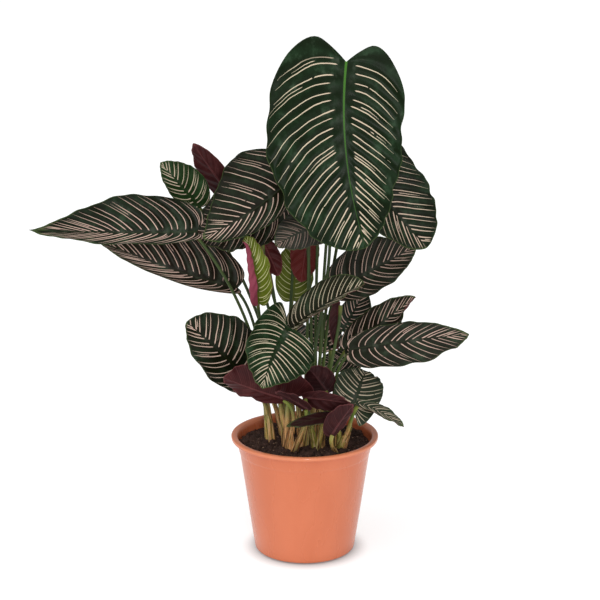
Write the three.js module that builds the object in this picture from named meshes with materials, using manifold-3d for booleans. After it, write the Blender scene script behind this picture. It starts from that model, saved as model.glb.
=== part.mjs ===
// Potted calathea: a striped-leaf house plant in a round plastic nursery pot.
// Millimetres, +Z up. The origin is the centre of the pot's flat underside, and -Y is the front.
import * as THREE from "three";
import { ConvexGeometry } from "three/addons/geometries/ConvexGeometry.js";
import Module from "manifold-3d";

const wasm = await Module();
wasm.setup();

// Pot
const POT_HEIGHT = 155;
const RIM_RADIUS = 95;
const BASE_RADIUS = 65;
const WALL_TOP_RADIUS = 88;
const POT_WALL = 2;
const STEP_BELOW_RIM = 23;
const STEP_DEPTH = 0.7;
const STEP_HEIGHT = 2;
const BASE_CORNER = 4;
const LIP_DEPTH = 5;
const LIP_ROUND = 1.5;
const FLOOR = 2.5;
const DRAIN_COUNT = 6;
const DRAIN_RADIUS = 4;
const DRAIN_CIRCLE = 38;
const DRAIN_SIDES = 12;
const ROUND = 40;

// Soil
const SOIL_TOP = 143;
const SOIL_RINGS = 5;
const SOIL_CORNER = 5;
const CLEARANCE = 0.3;
const STEM_DEPTH = 12;
const HOLE_RISE = 6;
const SEAT_GAP = 0.45;
// Low waves that cross each other on the soil: height in mm, and radians a mm along x and y with a start.
const LUMPS = [
  { height: 1.2, x: 0.09, y: 0.05, start: 1 },
  { height: 0.8, x: -0.04, y: 0.08, start: 0 },
  { height: 0.5, x: 0.19, y: -0.11, start: 2 },
];

// Leaf blades
const BLADE = 0.9;
const ROWS_LARGE = 13;
const ROWS_SMALL = 10;
const COLUMNS_LARGE = 3;
const COLUMNS_SMALL = 2;
const FAN = 0.14;
const FIRST_EDGE = 0.15;
const SWEEP = 1.85;
const VEIN_BOW = 0.16;
const WAVE_COUNT = 3;
const WAVE_SHIFT = 0.37;
const WAVE_POWER = 2.5;
const WAVE_FADE = 4;
const ROLL_POWER = 4;

// Leaf stalks
const STALK_RADIUS = 2;
const SHEATH_EXTRA = 2.2;
const SHEATH_LENGTH = 70;
const KNEE_EXTRA = 0.5;
const KNEE_LENGTH = 14;
const STALK_SIDES = 6;
const STALK_STEPS = 8;
const STALK_INSET = 3;

const DEGREE = Math.PI / 180;
const WELD = 1e-3;
const TINY = 1e-6;

// Where each crown of stalks comes out of the soil.
const CROWNS = {
  a: [-44, -6],
  b: [-22, -28],
  c: [-2, -14],
  d: [18, -24],
  e: [40, -22],
  f: [-20, 18],
  g: [14, 18],
};

// One row for each leaf. base and tip are the two ends of the midrib, and face is the way that the upper side looks.
// half is the half width on the left and the right, looking at the upper side with the tip up; arch lifts the middle
// of the midrib towards the face, and sway bends it to the right. lobe, point and widest shape the outline, notch is
// the width of the cut at the base, fold is the angle of each half at the midrib, curl its further bend out to the
// margin, roll the further fold at the tip, and wave the height of the margin's waves. The stalk grows from its crown
// at foot, sets off along rise and comes to the blade from neck.
const LEAVES = [
  { name: "top_front", large: true, base: [49, -40, 635], tip: [73, -80, 417], face: [0, -1, 0.25],
    half: [72, 94], arch: 14, sway: 24, wave: 2, notch: 0.3, lobe: [0.15, 0.19], point: [1.15, 1],
    widest: [0.2, 0.36], fold: [6, 4], curl: [-10, 10], roll: [-40, 0],
    crown: "g", foot: [0, -2], rise: [0, 24, 200], neck: [-38, 48, -95] },
  { name: "top_right", large: true, base: [46, 20, 555], tip: [153, -10, 403], face: [0.1, -1, 0.35],
    half: [56, 39], arch: 12, sway: 24, wave: 2, notch: 0.3, lobe: [0.08, 0.08], point: [1, 1.2],
    widest: [0.55, 0.42], fold: [12, 8], curl: [0, 0], roll: [0, 0],
    crown: "g", foot: [4, -2], rise: [0, 8, 200], neck: [-14, 20, -50] },
  { name: "upper_left", large: true, base: [-4, 0, 501], tip: [-125, -45, 422], face: [-0.15, -0.9, 0.6],
    half: [27, 71], arch: 14, sway: -24, wave: 1, notch: 0.3, lobe: [0.08, 0.08], point: [1.3, 1.8],
    widest: [0.42, 0.32], fold: [-22, 4], curl: [-34, 0], roll: [0, 0],
    crown: "c", foot: [2, 2], rise: [0, 8, 160], neck: [20, 30, -60] },
  { name: "upper_left_under", large: true, base: [-21, 45, 446], tip: [-137, 15, 409], face: [-0.1, -0.95, 0.7],
    half: [46, 51], arch: 12, sway: 0, wave: 2, notch: 0.3, lobe: [0.08, 0.08], point: [1.4, 1.4],
    widest: [0.42, 0.42], fold: [5, 8], curl: [0, 0], roll: [0, 0],
    crown: "f", foot: [-4, 0], rise: [-6, 4, 160], neck: [24, 0, -50] },
  { name: "long_left", large: true, base: [-134, -12, 423], tip: [-339, -35, 430], face: [0, -0.95, 0.4],
    half: [16, 47], arch: 10, sway: -6, wave: 2.5, notch: 0.3, lobe: [0.1, 0.1], point: [1.5, 3],
    widest: [0.33, 0.33], fold: [-30, 12], curl: [0, 0], roll: [0, 0],
    crown: "a", foot: [3, 2], rise: [-10, 8, 160], neck: [40, 16, -60] },
  { name: "long_left_under", large: true, base: [-86, 30, 341], tip: [-262, 15, 407], face: [-0.1, -0.75, 0.7],
    half: [15, 50], arch: 12, sway: -16, wave: 1, notch: 0.3, lobe: [0.08, 0.08], point: [1.4, 1.6],
    widest: [0.42, 0.42], fold: [-10, 25], curl: [0, 0], roll: [0, 0],
    crown: "a", foot: [-2, 3], rise: [-4, 6, 90], neck: [32, 8, -30] },
  { name: "small_top_left", large: false, base: [-134, 47, 442], tip: [-182, 37, 502], face: [0.2, -0.9, 0.1],
    half: [18, 30], arch: 4, sway: 0, wave: 1, notch: 0.3, lobe: [0.08, 0.08], point: [1.5, 1.5],
    widest: [0.42, 0.42], fold: [10, 15], curl: [0, 0], roll: [0, 0],
    crown: "f", foot: [-4, 5], rise: [-16, 16, 180], neck: [23, 19, -35] },
  { name: "purple_top", large: false, base: [-94, 75, 450], tip: [-142, 60, 523], face: [0, 0.95, 0.2],
    half: [16, 21], arch: -6, sway: 0, wave: 1, notch: 0.3, lobe: [0.08, 0.08], point: [1.5, 1.5],
    widest: [0.42, 0.42], fold: [20, 20], curl: [0, 0], roll: [0, 0],
    crown: "f", foot: [0, 6], rise: [-10, 20, 180], neck: [12, 6, -40] },
  { name: "grey_centre", large: false, base: [29, 0, 433], tip: [-36, -35, 410], face: [-0.2, -0.8, 0.8],
    half: [30, 30], arch: 8, sway: 0, wave: 1, notch: 0.3, lobe: [0.08, 0.08], point: [1.3, 1.3],
    widest: [0.42, 0.42], fold: [5, 8], curl: [0, 0], roll: [0, 0],
    crown: "c", foot: [3, -3], rise: [0, 0, 140], neck: [20, 16, -40] },
  { name: "young_front", large: false, base: [-59, -5, 330], tip: [-73, -10, 417], face: [0.1, -1, 0.1],
    half: [26, 23], arch: 4, sway: 8, wave: 1, notch: 0.3, lobe: [0.08, 0.08], point: [1.1, 1.1],
    widest: [0.42, 0.42], fold: [30, 25], curl: [0, 0], roll: [0, 0],
    crown: "b", foot: [-2, 3], rise: [0, 4, 80], neck: [-2, 12, -37] },
  { name: "young_rear", large: false, base: [-16, 45, 321], tip: [-11, 50, 399], face: [0.1, -1, 0.1],
    half: [25, 25], arch: 4, sway: 0, wave: 1, notch: 0.3, lobe: [0.08, 0.08], point: [1.2, 1.2],
    widest: [0.42, 0.42], fold: [10, 5], curl: [0, 0], roll: [0, 0],
    crown: "f", foot: [3, 2], rise: [0, 6, 100], neck: [-4, 10, -38] },
  { name: "hanging_rear", large: false, base: [4, 28, 409], tip: [-5, 20, 351], face: [0, 0.8, 0],
    half: [19, 19], arch: 4, sway: 0, wave: 1, notch: 0.3, lobe: [0.08, 0.08], point: [1.3, 1.3],
    widest: [0.42, 0.42], fold: [15, 15], curl: [0, 0], roll: [0, 0],
    crown: "g", foot: [-3, -4], rise: [0, 0, 120], neck: [2, -10, -40] },
  { name: "hanging_centre", large: false, base: [-54, 12, 407], tip: [-33, 0, 364], face: [0, 0.8, 0],
    half: [14, 14], arch: 4, sway: 0, wave: 1, notch: 0.3, lobe: [0.08, 0.08], point: [1.3, 1.3],
    widest: [0.42, 0.42], fold: [15, 15], curl: [0, 0], roll: [0, 0],
    crown: "c", foot: [-2, 3], rise: [0, 0, 120], neck: [-2, -10, -40] },
  { name: "heart_front", large: true, base: [-21, -55, 311], tip: [-52, -105, 248], face: [0.15, -0.85, 0.6],
    half: [49, 39], arch: 10, sway: 6, wave: 1.5, notch: 0.55, lobe: [0.08, 0.62], point: [1.7, 1.4],
    widest: [0.42, 0.42], fold: [10, 20], curl: [0, 0], roll: [0, 0],
    crown: "b", foot: [-2, -3], rise: [0, -6, 80], neck: [10, 14, -40] },
  { name: "folded_centre", large: true, base: [-16, -35, 305], tip: [73, -60, 368], face: [0.1, -0.6, 0.8],
    half: [28, 16], arch: 10, sway: 0, wave: 1, notch: 0.3, lobe: [0.08, 0.08], point: [1.1, 1.3],
    widest: [0.6, 0.42], fold: [40, 35], curl: [0, 0], roll: [0, 0],
    crown: "c", foot: [-3, -2], rise: [0, 0, 80], neck: [-12, 8, -40] },
  { name: "right_rear", large: true, base: [39, 30, 338], tip: [141, 25, 397], face: [0.3, -0.9, 0.4],
    half: [40, 29], arch: 8, sway: 0, wave: 2, notch: 0.3, lobe: [0.08, 0.08], point: [1.4, 1.4],
    widest: [0.42, 0.42], fold: [15, 15], curl: [0, 0], roll: [0, 0],
    crown: "g", foot: [5, 0], rise: [4, 4, 100], neck: [-16, 8, -30] },
  { name: "right_inner", large: false, base: [49, 62, 276], tip: [79, 66, 329], face: [0.3, -0.9, 0.2],
    half: [21, 23], arch: 4, sway: 0, wave: 1, notch: 0.3, lobe: [0.08, 0.08], point: [1.4, 1.4],
    widest: [0.42, 0.42], fold: [15, 15], curl: [0, 0], roll: [0, 0],
    crown: "g", foot: [5, 5], rise: [4, 14, 80], neck: [-14, 8, -26] },
  { name: "right_upper", large: true, base: [51, -10, 270], tip: [139, -15, 340], face: [0.2, -0.9, 0.5],
    half: [23, 27], arch: 6, sway: 0, wave: 1.5, notch: 0.3, lobe: [0.08, 0.08], point: [1.3, 1.3],
    widest: [0.42, 0.42], fold: [10, 15], curl: [0, 0], roll: [0, 40],
    crown: "d", foot: [3, 3], rise: [0, 4, 90], neck: [-20, 8, -30] },
  { name: "right_lower", large: true, base: [56, -45, 280], tip: [201, -70, 307], face: [0.1, -0.9, 0.6],
    half: [24, 35], arch: 10, sway: 0, wave: 2, notch: 0.3, lobe: [0.08, 0.08], point: [1.5, 0.9],
    widest: [0.42, 0.42], fold: [15, 15], curl: [0, 0], roll: [0, 0],
    crown: "e", foot: [-2, -5], rise: [0, 0, 80], neck: [-32, 6, -30] },
  { name: "right_under", large: false, base: [76, 68, 234], tip: [18, 64, 229], face: [0, -1, 0.6],
    half: [16, 16], arch: 4, sway: 0, wave: 1, notch: 0.3, lobe: [0.08, 0.08], point: [1.2, 1.2],
    widest: [0.42, 0.42], fold: [10, 10], curl: [0, 0], roll: [0, 0],
    crown: "g", foot: [6, 4], rise: [10, 10, 50], neck: [8, 0, -16] },
  { name: "round_low_right", large: true, base: [60, -60, 214], tip: [77, -20, 245], face: [0.1, -0.8, 0.6],
    half: [31, 31], arch: 6, sway: 0, wave: 1, notch: 0.4, lobe: [0.45, 0.75], point: [1.1, 1.1],
    widest: [0.42, 0.42], fold: [10, 10], curl: [0, 0], roll: [0, 0],
    crown: "e", foot: [3, -3], rise: [6, -10, 30], neck: [0, 4, -30] },
  { name: "thin_low_right", large: false, base: [63, -74, 220], tip: [121, -98, 197], face: [0.2, -0.45, 1],
    half: [12, 8], arch: 8, sway: 0, wave: 1, notch: 0.3, lobe: [0.08, 0.08], point: [1.4, 1.4],
    widest: [0.42, 0.42], fold: [10, 10], curl: [0, 0], roll: [0, 0],
    crown: "e", foot: [5, 1], rise: [12, -14, 40], neck: [-10, -4, -14] },
  { name: "purple_low_front", large: false, base: [32, -75, 177], tip: [59, -95, 225], face: [0, 0.8, 0.5],
    half: [9, 18], arch: 4, sway: 0, wave: 1, notch: 0.3, lobe: [0.08, 0.08], point: [1.4, 1.4],
    widest: [0.42, 0.42], fold: [10, 10], curl: [0, 0], roll: [0, 0],
    crown: "e", foot: [0, -8], rise: [0, -10, 14], neck: [-5, -9, -9] },
  { name: "thin_low_front", large: false, base: [39, -58, 199], tip: [-23, -102, 199], face: [0, -0.8, 0.6],
    half: [8, 8], arch: 4, sway: 0, wave: 1, notch: 0.3, lobe: [0.08, 0.08], point: [1.4, 1.4],
    widest: [0.42, 0.42], fold: [5, 5], curl: [0, 0], roll: [0, 0],
    crown: "e", foot: [0, -4], rise: [8, -8, 30], neck: [8, 2, -14] },
  { name: "purple_band", large: false, base: [-2, -64, 224], tip: [56, -88, 223], face: [0, 0.95, 0.3],
    half: [18, 11], arch: 4, sway: 0, wave: 1, notch: 0.3, lobe: [0.08, 0.08], point: [1.2, 1.2],
    widest: [0.42, 0.42], fold: [5, 5], curl: [0, 0], roll: [0, 0],
    crown: "d", foot: [-4, 1], rise: [-4, -8, 40], neck: [6, -3, -18] },
  { name: "purple_small", large: false, base: [5, -71, 210], tip: [-37, -82, 237], face: [0, 0.6, 0.8],
    half: [12, 12], arch: 4, sway: 0, wave: 1, notch: 0.3, lobe: [0.08, 0.08], point: [1.4, 1.4],
    widest: [0.42, 0.42], fold: [5, 5], curl: [0, 0], roll: [0, 0],
    crown: "b", foot: [5, -1], rise: [6, -12, 26], neck: [4, 6, -18] },
  { name: "purple_low_left", large: true, base: [-24, -54, 219], tip: [-100, -74, 253], face: [0, 0.9, 0.45],
    half: [42, 24], arch: -4, sway: 0, wave: 2, notch: 0.3, lobe: [0.5, 0.08], point: [1.3, 1.2],
    widest: [0.42, 0.42], fold: [15, 15], curl: [0, 0], roll: [0, 0],
    crown: "b", foot: [3, -4], rise: [0, -6, 40], neck: [22, 0, -16] },
  { name: "purple_centre", large: false, base: [29, -44, 223], tip: [5, -38, 254], face: [0, 0.9, 0.3],
    half: [20, 20], arch: 4, sway: 0, wave: 1, notch: 0.3, lobe: [0.08, 0.08], point: [1.1, 1.1],
    widest: [0.42, 0.42], fold: [10, 10], curl: [0, 0], roll: [0, 0],
    crown: "d", foot: [-2, -3], rise: [0, -4, 30], neck: [7, -10, -12] },
  { name: "low_left", large: true, base: [-67, -24, 232], tip: [-146, -52, 318], face: [-0.3, -0.8, 0.6],
    half: [33, 50], arch: 10, sway: 0, wave: 2, notch: 0.3, lobe: [0.08, 0.08], point: [1.4, 1.1],
    widest: [0.42, 0.52], fold: [10, 20], curl: [0, 0], roll: [0, 0],
    crown: "a", foot: [0, -3], rise: [-6, 0, 60], neck: [26, 22, -40] },
  { name: "inner_centre", large: false, base: [33, 48, 253], tip: [17, 52, 303], face: [0, -1, 0.2],
    half: [22, 22], arch: 4, sway: 0, wave: 1, notch: 0.3, lobe: [0.08, 0.08], point: [1.3, 1.3],
    widest: [0.42, 0.42], fold: [10, 10], curl: [0, 0], roll: [0, 0],
    crown: "g", foot: [0, 0], rise: [4, 6, 70], neck: [8, 8, -25] },
  { name: "inner_hanging", large: false, base: [43, 0, 329], tip: [43, -8, 269], face: [-0.6, 0.6, 0.1],
    half: [11, 11], arch: 4, sway: 0, wave: 0, notch: 0.3, lobe: [0.08, 0.08], point: [1.2, 1.2],
    widest: [0.42, 0.42], fold: [40, 40], curl: [0, 0], roll: [0, 0],
    crown: "d", foot: [3, -2], rise: [0, 0, 100], neck: [0, -10, -40] },
  { name: "back_top", large: true, base: [50, 60, 443], tip: [30, 110, 572], face: [0, 0.8, 0.6],
    half: [52, 52], arch: 12, sway: 0, wave: 2, notch: 0.3, lobe: [0.08, 0.08], point: [1.3, 1.3],
    widest: [0.42, 0.42], fold: [10, 10], curl: [0, 0], roll: [0, 0],
    crown: "g", foot: [0, 8], rise: [0, 20, 160], neck: [1, -30, -30] },
  { name: "back_left", large: false, base: [-56, 85, 416], tip: [-89, 138, 427], face: [-0.25, 0.5, 0.9],
    half: [26, 26], arch: 12, sway: 0, wave: 2, notch: 0.3, lobe: [0.08, 0.08], point: [1.3, 1.3],
    widest: [0.42, 0.42], fold: [10, 10], curl: [0, 0], roll: [0, 0],
    crown: "f", foot: [-2, 8], rise: [-4, 26, 160], neck: [6, -24, -34] },
  { name: "back_right", large: false, base: [75, 75, 335], tip: [131, 134, 352], face: [0.35, 0.5, 0.9],
    half: [26, 26], arch: 12, sway: 0, wave: 2, notch: 0.3, lobe: [0.08, 0.08], point: [1.3, 1.3],
    widest: [0.42, 0.42], fold: [10, 10], curl: [0, 0], roll: [0, 0],
    crown: "g", foot: [4, 8], rise: [8, 80, 70], neck: [-10, -24, -34] },
  { name: "back_low_right", large: false, base: [89, 70, 252], tip: [190, 105, 248], face: [0.3, 0.7, 0.6],
    half: [24, 24], arch: 8, sway: 0, wave: 2, notch: 0.3, lobe: [0.08, 0.08], point: [1.5, 1.5],
    widest: [0.42, 0.42], fold: [10, 10], curl: [0, 0], roll: [0, 0],
    crown: "g", foot: [8, 5], rise: [10, 80, 50], neck: [-20, 4, -30] },
  { name: "back_low_left", large: false, base: [-56, 60, 219], tip: [-123, 118, 230], face: [-0.3, 0.5, 0.9],
    half: [30, 30], arch: 10, sway: 0, wave: 2, notch: 0.3, lobe: [0.08, 0.08], point: [1.4, 1.4],
    widest: [0.42, 0.42], fold: [10, 10], curl: [0, 0], roll: [0, 0],
    crown: "f", foot: [-6, 3], rise: [-8, 20, 50], neck: [10, -16, -22] },
  { name: "back_centre", large: false, base: [-14, 70, 252], tip: [-22, 138, 259], face: [-0.2, 0.4, 0.9],
    half: [26, 26], arch: 12, sway: 0, wave: 2, notch: 0.3, lobe: [0.08, 0.08], point: [1.3, 1.3],
    widest: [0.42, 0.42], fold: [10, 10], curl: [0, 0], roll: [0, 0],
    crown: "g", foot: [-5, 6], rise: [-2, 24, 70], neck: [0, -18, -26] },
];

// Index and positions of the given triangles, with points that lie together made one and empty triangles left out.
function weld(points, triangles) {
  const seen = new Map();
  const positions = [];
  const index = points.map((p) => {
    const key = p.map((c) => Math.round(c / WELD)).join(" ");
    if (!seen.has(key)) {
      seen.set(key, positions.length / 3);
      positions.push(...p);
    }
    return seen.get(key);
  });
  const kept = triangles
    .map((t) => t.map((i) => index[i]))
    .filter(([a, b, c]) => a !== b && b !== c && c !== a);
  return { positions: new Float32Array(positions), index: new Uint32Array(kept.flat()) };
}

function solidOf(points, triangles) {
  const { positions, index } = weld(points, triangles);
  return new wasm.Manifold(new wasm.Mesh({ numProp: 3, vertProperties: positions, triVerts: index }));
}

// Solid of a closed three.js geometry.
function solidOfGeometry(geometry) {
  const corners = (geometry.index ? geometry.toNonIndexed() : geometry).getAttribute("position");
  const points = [];
  const triangles = [];
  for (let i = 0; i < corners.count; i++) {
    points.push([corners.getX(i), corners.getY(i), corners.getZ(i)]);
    if (i % 3 === 2) triangles.push([i - 2, i - 1, i]);
  }
  return solidOf(points, triangles);
}

function geometryOf(positions, index) {
  const geometry = new THREE.BufferGeometry();
  geometry.setAttribute("position", new THREE.BufferAttribute(positions, 3));
  geometry.setIndex(new THREE.BufferAttribute(index, 1));
  geometry.computeVertexNormals();
  return geometry;
}

function geometryOfSolid(solid) {
  const mesh = solid.getMesh();
  return geometryOf(new Float32Array(mesh.vertProperties), new Uint32Array(mesh.triVerts));
}

// Two triangles for each cell of a grid of points that is stored row by row from the index first.
function gridTriangles(rows, columns, first, flip) {
  const triangles = [];
  for (let i = 0; i < rows - 1; i++) {
    for (let j = 0; j < columns - 1; j++) {
      const a = first + i * columns + j;
      const b = a + 1;
      const c = b + columns;
      const d = a + columns;
      triangles.push(flip ? [a, c, b] : [a, b, c]);
      triangles.push(flip ? [a, d, c] : [a, c, d]);
    }
  }
  return triangles;
}

// Solid of revolution about Z from (radius, height) pairs that start and end on the axis and run up the outside.
function turned(profile) {
  const points = [];
  for (const [radius, height] of profile) {
    for (let k = 0; k <= ROUND; k++) {
      const turn = (2 * Math.PI * (k % ROUND)) / ROUND;
      points.push([radius * Math.cos(turn), radius * Math.sin(turn), height]);
    }
  }
  return solidOf(points, gridTriangles(profile.length, ROUND + 1, 0, false));
}

// Radius of the pot's inner wall at a height.
function innerRadius(height) {
  const share = (height - FLOOR) / (POT_HEIGHT - FLOOR);
  return BASE_RADIUS + (WALL_TOP_RADIUS - BASE_RADIUS) * share - POT_WALL;
}

// Side view of the pot's wall and floor, from the middle of the underside up the outside and down the inside.
function potProfile() {
  const outer = (height) => innerRadius(height) + POT_WALL;
  const stepHeight = POT_HEIGHT - STEP_BELOW_RIM;
  const lipBottom = POT_HEIGHT - LIP_DEPTH;
  const lipShoulder = POT_HEIGHT - LIP_ROUND / 2;
  return [
    [0, 0],
    [BASE_RADIUS - BASE_CORNER, 0],
    [BASE_RADIUS - BASE_CORNER / 4, BASE_CORNER / 4],
    [outer(BASE_CORNER), BASE_CORNER],
    [outer(stepHeight) - STEP_DEPTH, stepHeight],
    [outer(stepHeight + STEP_HEIGHT), stepHeight + STEP_HEIGHT],
    [WALL_TOP_RADIUS, lipBottom - LIP_ROUND],
    [RIM_RADIUS - LIP_ROUND, lipBottom],
    [RIM_RADIUS, lipBottom + LIP_ROUND],
    [RIM_RADIUS - LIP_ROUND, lipShoulder],
    [RIM_RADIUS - 2 * LIP_ROUND, POT_HEIGHT],
    [WALL_TOP_RADIUS, lipShoulder],
    [innerRadius(lipBottom), lipBottom],
    [innerRadius(FLOOR + BASE_CORNER), FLOOR + BASE_CORNER],
    [BASE_RADIUS - BASE_CORNER - POT_WALL, FLOOR],
    [0, FLOOR],
  ];
}

function potSolid() {
  const drains = [];
  for (let k = 0; k < DRAIN_COUNT; k++) {
    const turn = (2 * Math.PI * k) / DRAIN_COUNT;
    const drain = new THREE.CylinderGeometry(DRAIN_RADIUS, DRAIN_RADIUS, 3 * FLOOR, DRAIN_SIDES);
    drain.rotateX(Math.PI / 2);
    drain.translate(DRAIN_CIRCLE * Math.cos(turn), DRAIN_CIRCLE * Math.sin(turn), FLOOR / 2);
    drains.push(solidOfGeometry(drain));
  }
  return turned(potProfile()).subtract(wasm.Manifold.union(drains));
}

function soilHeight(x, y) {
  return LUMPS.reduce((z, wave) => z + wave.height * Math.sin(wave.x * x + wave.y * y + wave.start), SOIL_TOP);
}

// Plain hole that the stalks of a crown stand in: the convex hull of tubes a little wider than each stalk, from just
// under its foot to above the soil.
function stemHole(crown) {
  const corners = [];
  for (const leaf of LEAVES.filter((l) => l.crown === crown)) {
    const { path, radii } = stalk(leaf);
    const count = path.findIndex((p) => p.z > SOIL_TOP + HOLE_RISE) + 1;
    const start = path[0].clone().sub(path[1]).setLength(CLEARANCE).add(path[0]);
    const wider = radii.slice(0, count).map((r) => r + SEAT_GAP);
    corners.push(...tubeRings([start, ...path.slice(1, count)], wider).flat());
  }
  return solidOfGeometry(new ConvexGeometry(corners));
}

// Soil: a filling that follows the pot's inside, with a lumpy top.
function soilSolid() {
  const depth = LUMPS.reduce((sum, wave) => sum + wave.height, 0);
  const rimRadius = innerRadius(SOIL_TOP - depth) - CLEARANCE;
  const bottom = FLOOR + CLEARANCE;
  const corner = bottom + SOIL_CORNER;
  const points = [];
  const ringOf = (radius, heightAt) => {
    for (let k = 0; k <= ROUND; k++) {
      const turn = (2 * Math.PI * (k % ROUND)) / ROUND;
      const x = radius * Math.cos(turn);
      const y = radius * Math.sin(turn);
      points.push([x, y, heightAt(x, y)]);
    }
  };
  ringOf(0, () => bottom);
  ringOf(BASE_RADIUS - BASE_CORNER - POT_WALL - 3 * CLEARANCE, () => bottom);
  ringOf(innerRadius(corner) - CLEARANCE, () => corner);
  for (let ring = SOIL_RINGS; ring >= 0; ring--) {
    ringOf((rimRadius * ring) / SOIL_RINGS, soilHeight);
  }
  const rows = points.length / (ROUND + 1);
  const body = solidOf(points, gridTriangles(rows, ROUND + 1, 0, false));
  return body.subtract(wasm.Manifold.union(Object.keys(CROWNS).map(stemHole)));
}

// Rings of STALK_SIDES corners square to a path; the last corner of a ring is its first one again.
function tubeRings(path, radii) {
  let across = new THREE.Vector3(1, 0, 0);
  return path.map((centre, i) => {
    const from = path[Math.max(i - 1, 0)];
    const to = path[Math.min(i + 1, path.length - 1)];
    const along = to.clone().sub(from).normalize();
    across = across.clone().addScaledVector(along, -across.dot(along)).normalize();
    const beside = along.clone().cross(across);
    return Array.from({ length: STALK_SIDES + 1 }, (_, k) => {
      const turn = (2 * Math.PI * (k % STALK_SIDES)) / STALK_SIDES;
      const corner = centre.clone().addScaledVector(across, radii[i] * Math.cos(turn));
      return corner.addScaledVector(beside, radii[i] * Math.sin(turn));
    });
  });
}

// Tube round a path, with both ends closed.
function tube(path, radii) {
  const points = tubeRings(path, radii).flat().map((p) => p.toArray());
  const columns = STALK_SIDES + 1;
  const triangles = gridTriangles(path.length, columns, 0, false);
  const foot = points.length;
  points.push(path[0].toArray());
  points.push(path[path.length - 1].toArray());
  const lastRing = (path.length - 1) * columns;
  for (let k = 0; k < STALK_SIDES; k++) {
    triangles.push([foot, k + 1, k]);
    triangles.push([foot + 1, lastRing + k, lastRing + k + 1]);
  }
  return solidOf(points, triangles);
}

// Midrib of a leaf: a quadratic curve from base to tip, with the two directions that span its chord.
function midrib(leaf) {
  const base = new THREE.Vector3(...leaf.base);
  const tip = new THREE.Vector3(...leaf.tip);
  const chord = tip.clone().sub(base);
  const along = chord.clone().normalize();
  const face = new THREE.Vector3(...leaf.face);
  face.addScaledVector(along, -face.dot(along)).normalize();
  const aside = along.clone().cross(face);
  const control = base.clone().addScaledVector(chord, 0.5);
  control.addScaledVector(face, leaf.arch).addScaledVector(aside, leaf.sway);
  const curve = new THREE.QuadraticBezierCurve3(base, control, tip);
  return { curve, face, length: curve.getLength() };
}

// Point on the midrib and its three directions at a fraction of the length; it runs on straight behind the base.
function midribFrame(rib, fraction) {
  const u = THREE.MathUtils.clamp(fraction, 0, 1);
  const along = rib.curve.getTangent(u);
  const point = rib.curve.getPoint(u).addScaledVector(along, Math.min(fraction, 0) * rib.length);
  const face = rib.face.clone().addScaledVector(along, -rib.face.dot(along)).normalize();
  return { point, along, face, aside: along.clone().cross(face) };
}

// Flat blade: row runs from the base (0) to the tip (1) and out from the midrib (0) to the margin (1). Each row is a
// side vein that leaves the midrib and bends to the tip. Gives length and width as fractions.
function flatPoint(leaf, side, row, out) {
  const lobe = leaf.lobe[side];
  const widest = leaf.widest[side];
  const rib = Math.max(0, (row - FAN) / (1 - FAN));
  const firstAngle = Math.acos((widest - FIRST_EDGE) / (widest + lobe));
  const edge = 1 - (1 - FIRST_EDGE) * (1 - rib) ** SWEEP;
  const cosine = edge < widest ? (widest - edge) / (widest + lobe) : (widest - edge) / (1 - widest);
  const angle = row < FAN ? (firstAngle * row) / FAN : Math.acos(THREE.MathUtils.clamp(cosine, -1, 1));
  const cut = lobe * Math.exp(-((angle / leaf.notch) ** 2));
  const behind = widest - (widest + lobe) * Math.cos(angle) + cut;
  const ahead = widest - (1 - widest) * Math.cos(angle);
  const edgeLength = angle < Math.PI / 2 ? behind : ahead;
  const edgeWidth = angle < Math.PI / 2 ? Math.sin(angle) : Math.abs(Math.sin(angle)) ** leaf.point[side];
  const bow = VEIN_BOW * edgeWidth * Math.min(1, row / FAN) * (1 - row);
  const bend = (rib + edgeLength) / 2 - bow;
  const length = (1 - out) ** 2 * rib + 2 * out * (1 - out) * bend + out ** 2 * edgeLength;
  return [length, out * edgeWidth];
}

// Point of the blade's middle sheet and the direction straight out of its upper side.
function sheetPoint(leaf, rib, row, column) {
  const side = column > 0 ? 1 : 0;
  const out = Math.abs(column);
  const [length, width] = flatPoint(leaf, side, row, out);
  const { point, face, aside } = midribFrame(rib, length);
  const distance = width * leaf.half[side];
  if (distance < TINY) return { point, normal: face };
  const start = DEGREE * (leaf.fold[side] + leaf.roll[side] * THREE.MathUtils.clamp(length, 0, 1) ** ROLL_POWER);
  const bend = (DEGREE * leaf.curl[side]) / leaf.half[side] || TINY;
  const slope = start + bend * distance;
  const fade = Math.min(1, WAVE_FADE * row) * Math.min(1, WAVE_FADE * (1 - row));
  const swing = Math.sin(2 * Math.PI * (WAVE_COUNT * row + WAVE_SHIFT * side));
  const ripple = leaf.wave * out ** WAVE_POWER * swing * fade;
  const sideways = (Math.sin(slope) - Math.sin(start)) / bend - ripple * Math.sin(slope);
  const upwards = (Math.cos(start) - Math.cos(slope)) / bend + ripple * Math.cos(slope);
  const sign = side ? 1 : -1;
  point.addScaledVector(aside, sign * sideways).addScaledVector(face, upwards);
  const normal = face.multiplyScalar(Math.cos(slope)).addScaledVector(aside, -sign * Math.sin(slope));
  return { point, normal };
}

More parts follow.
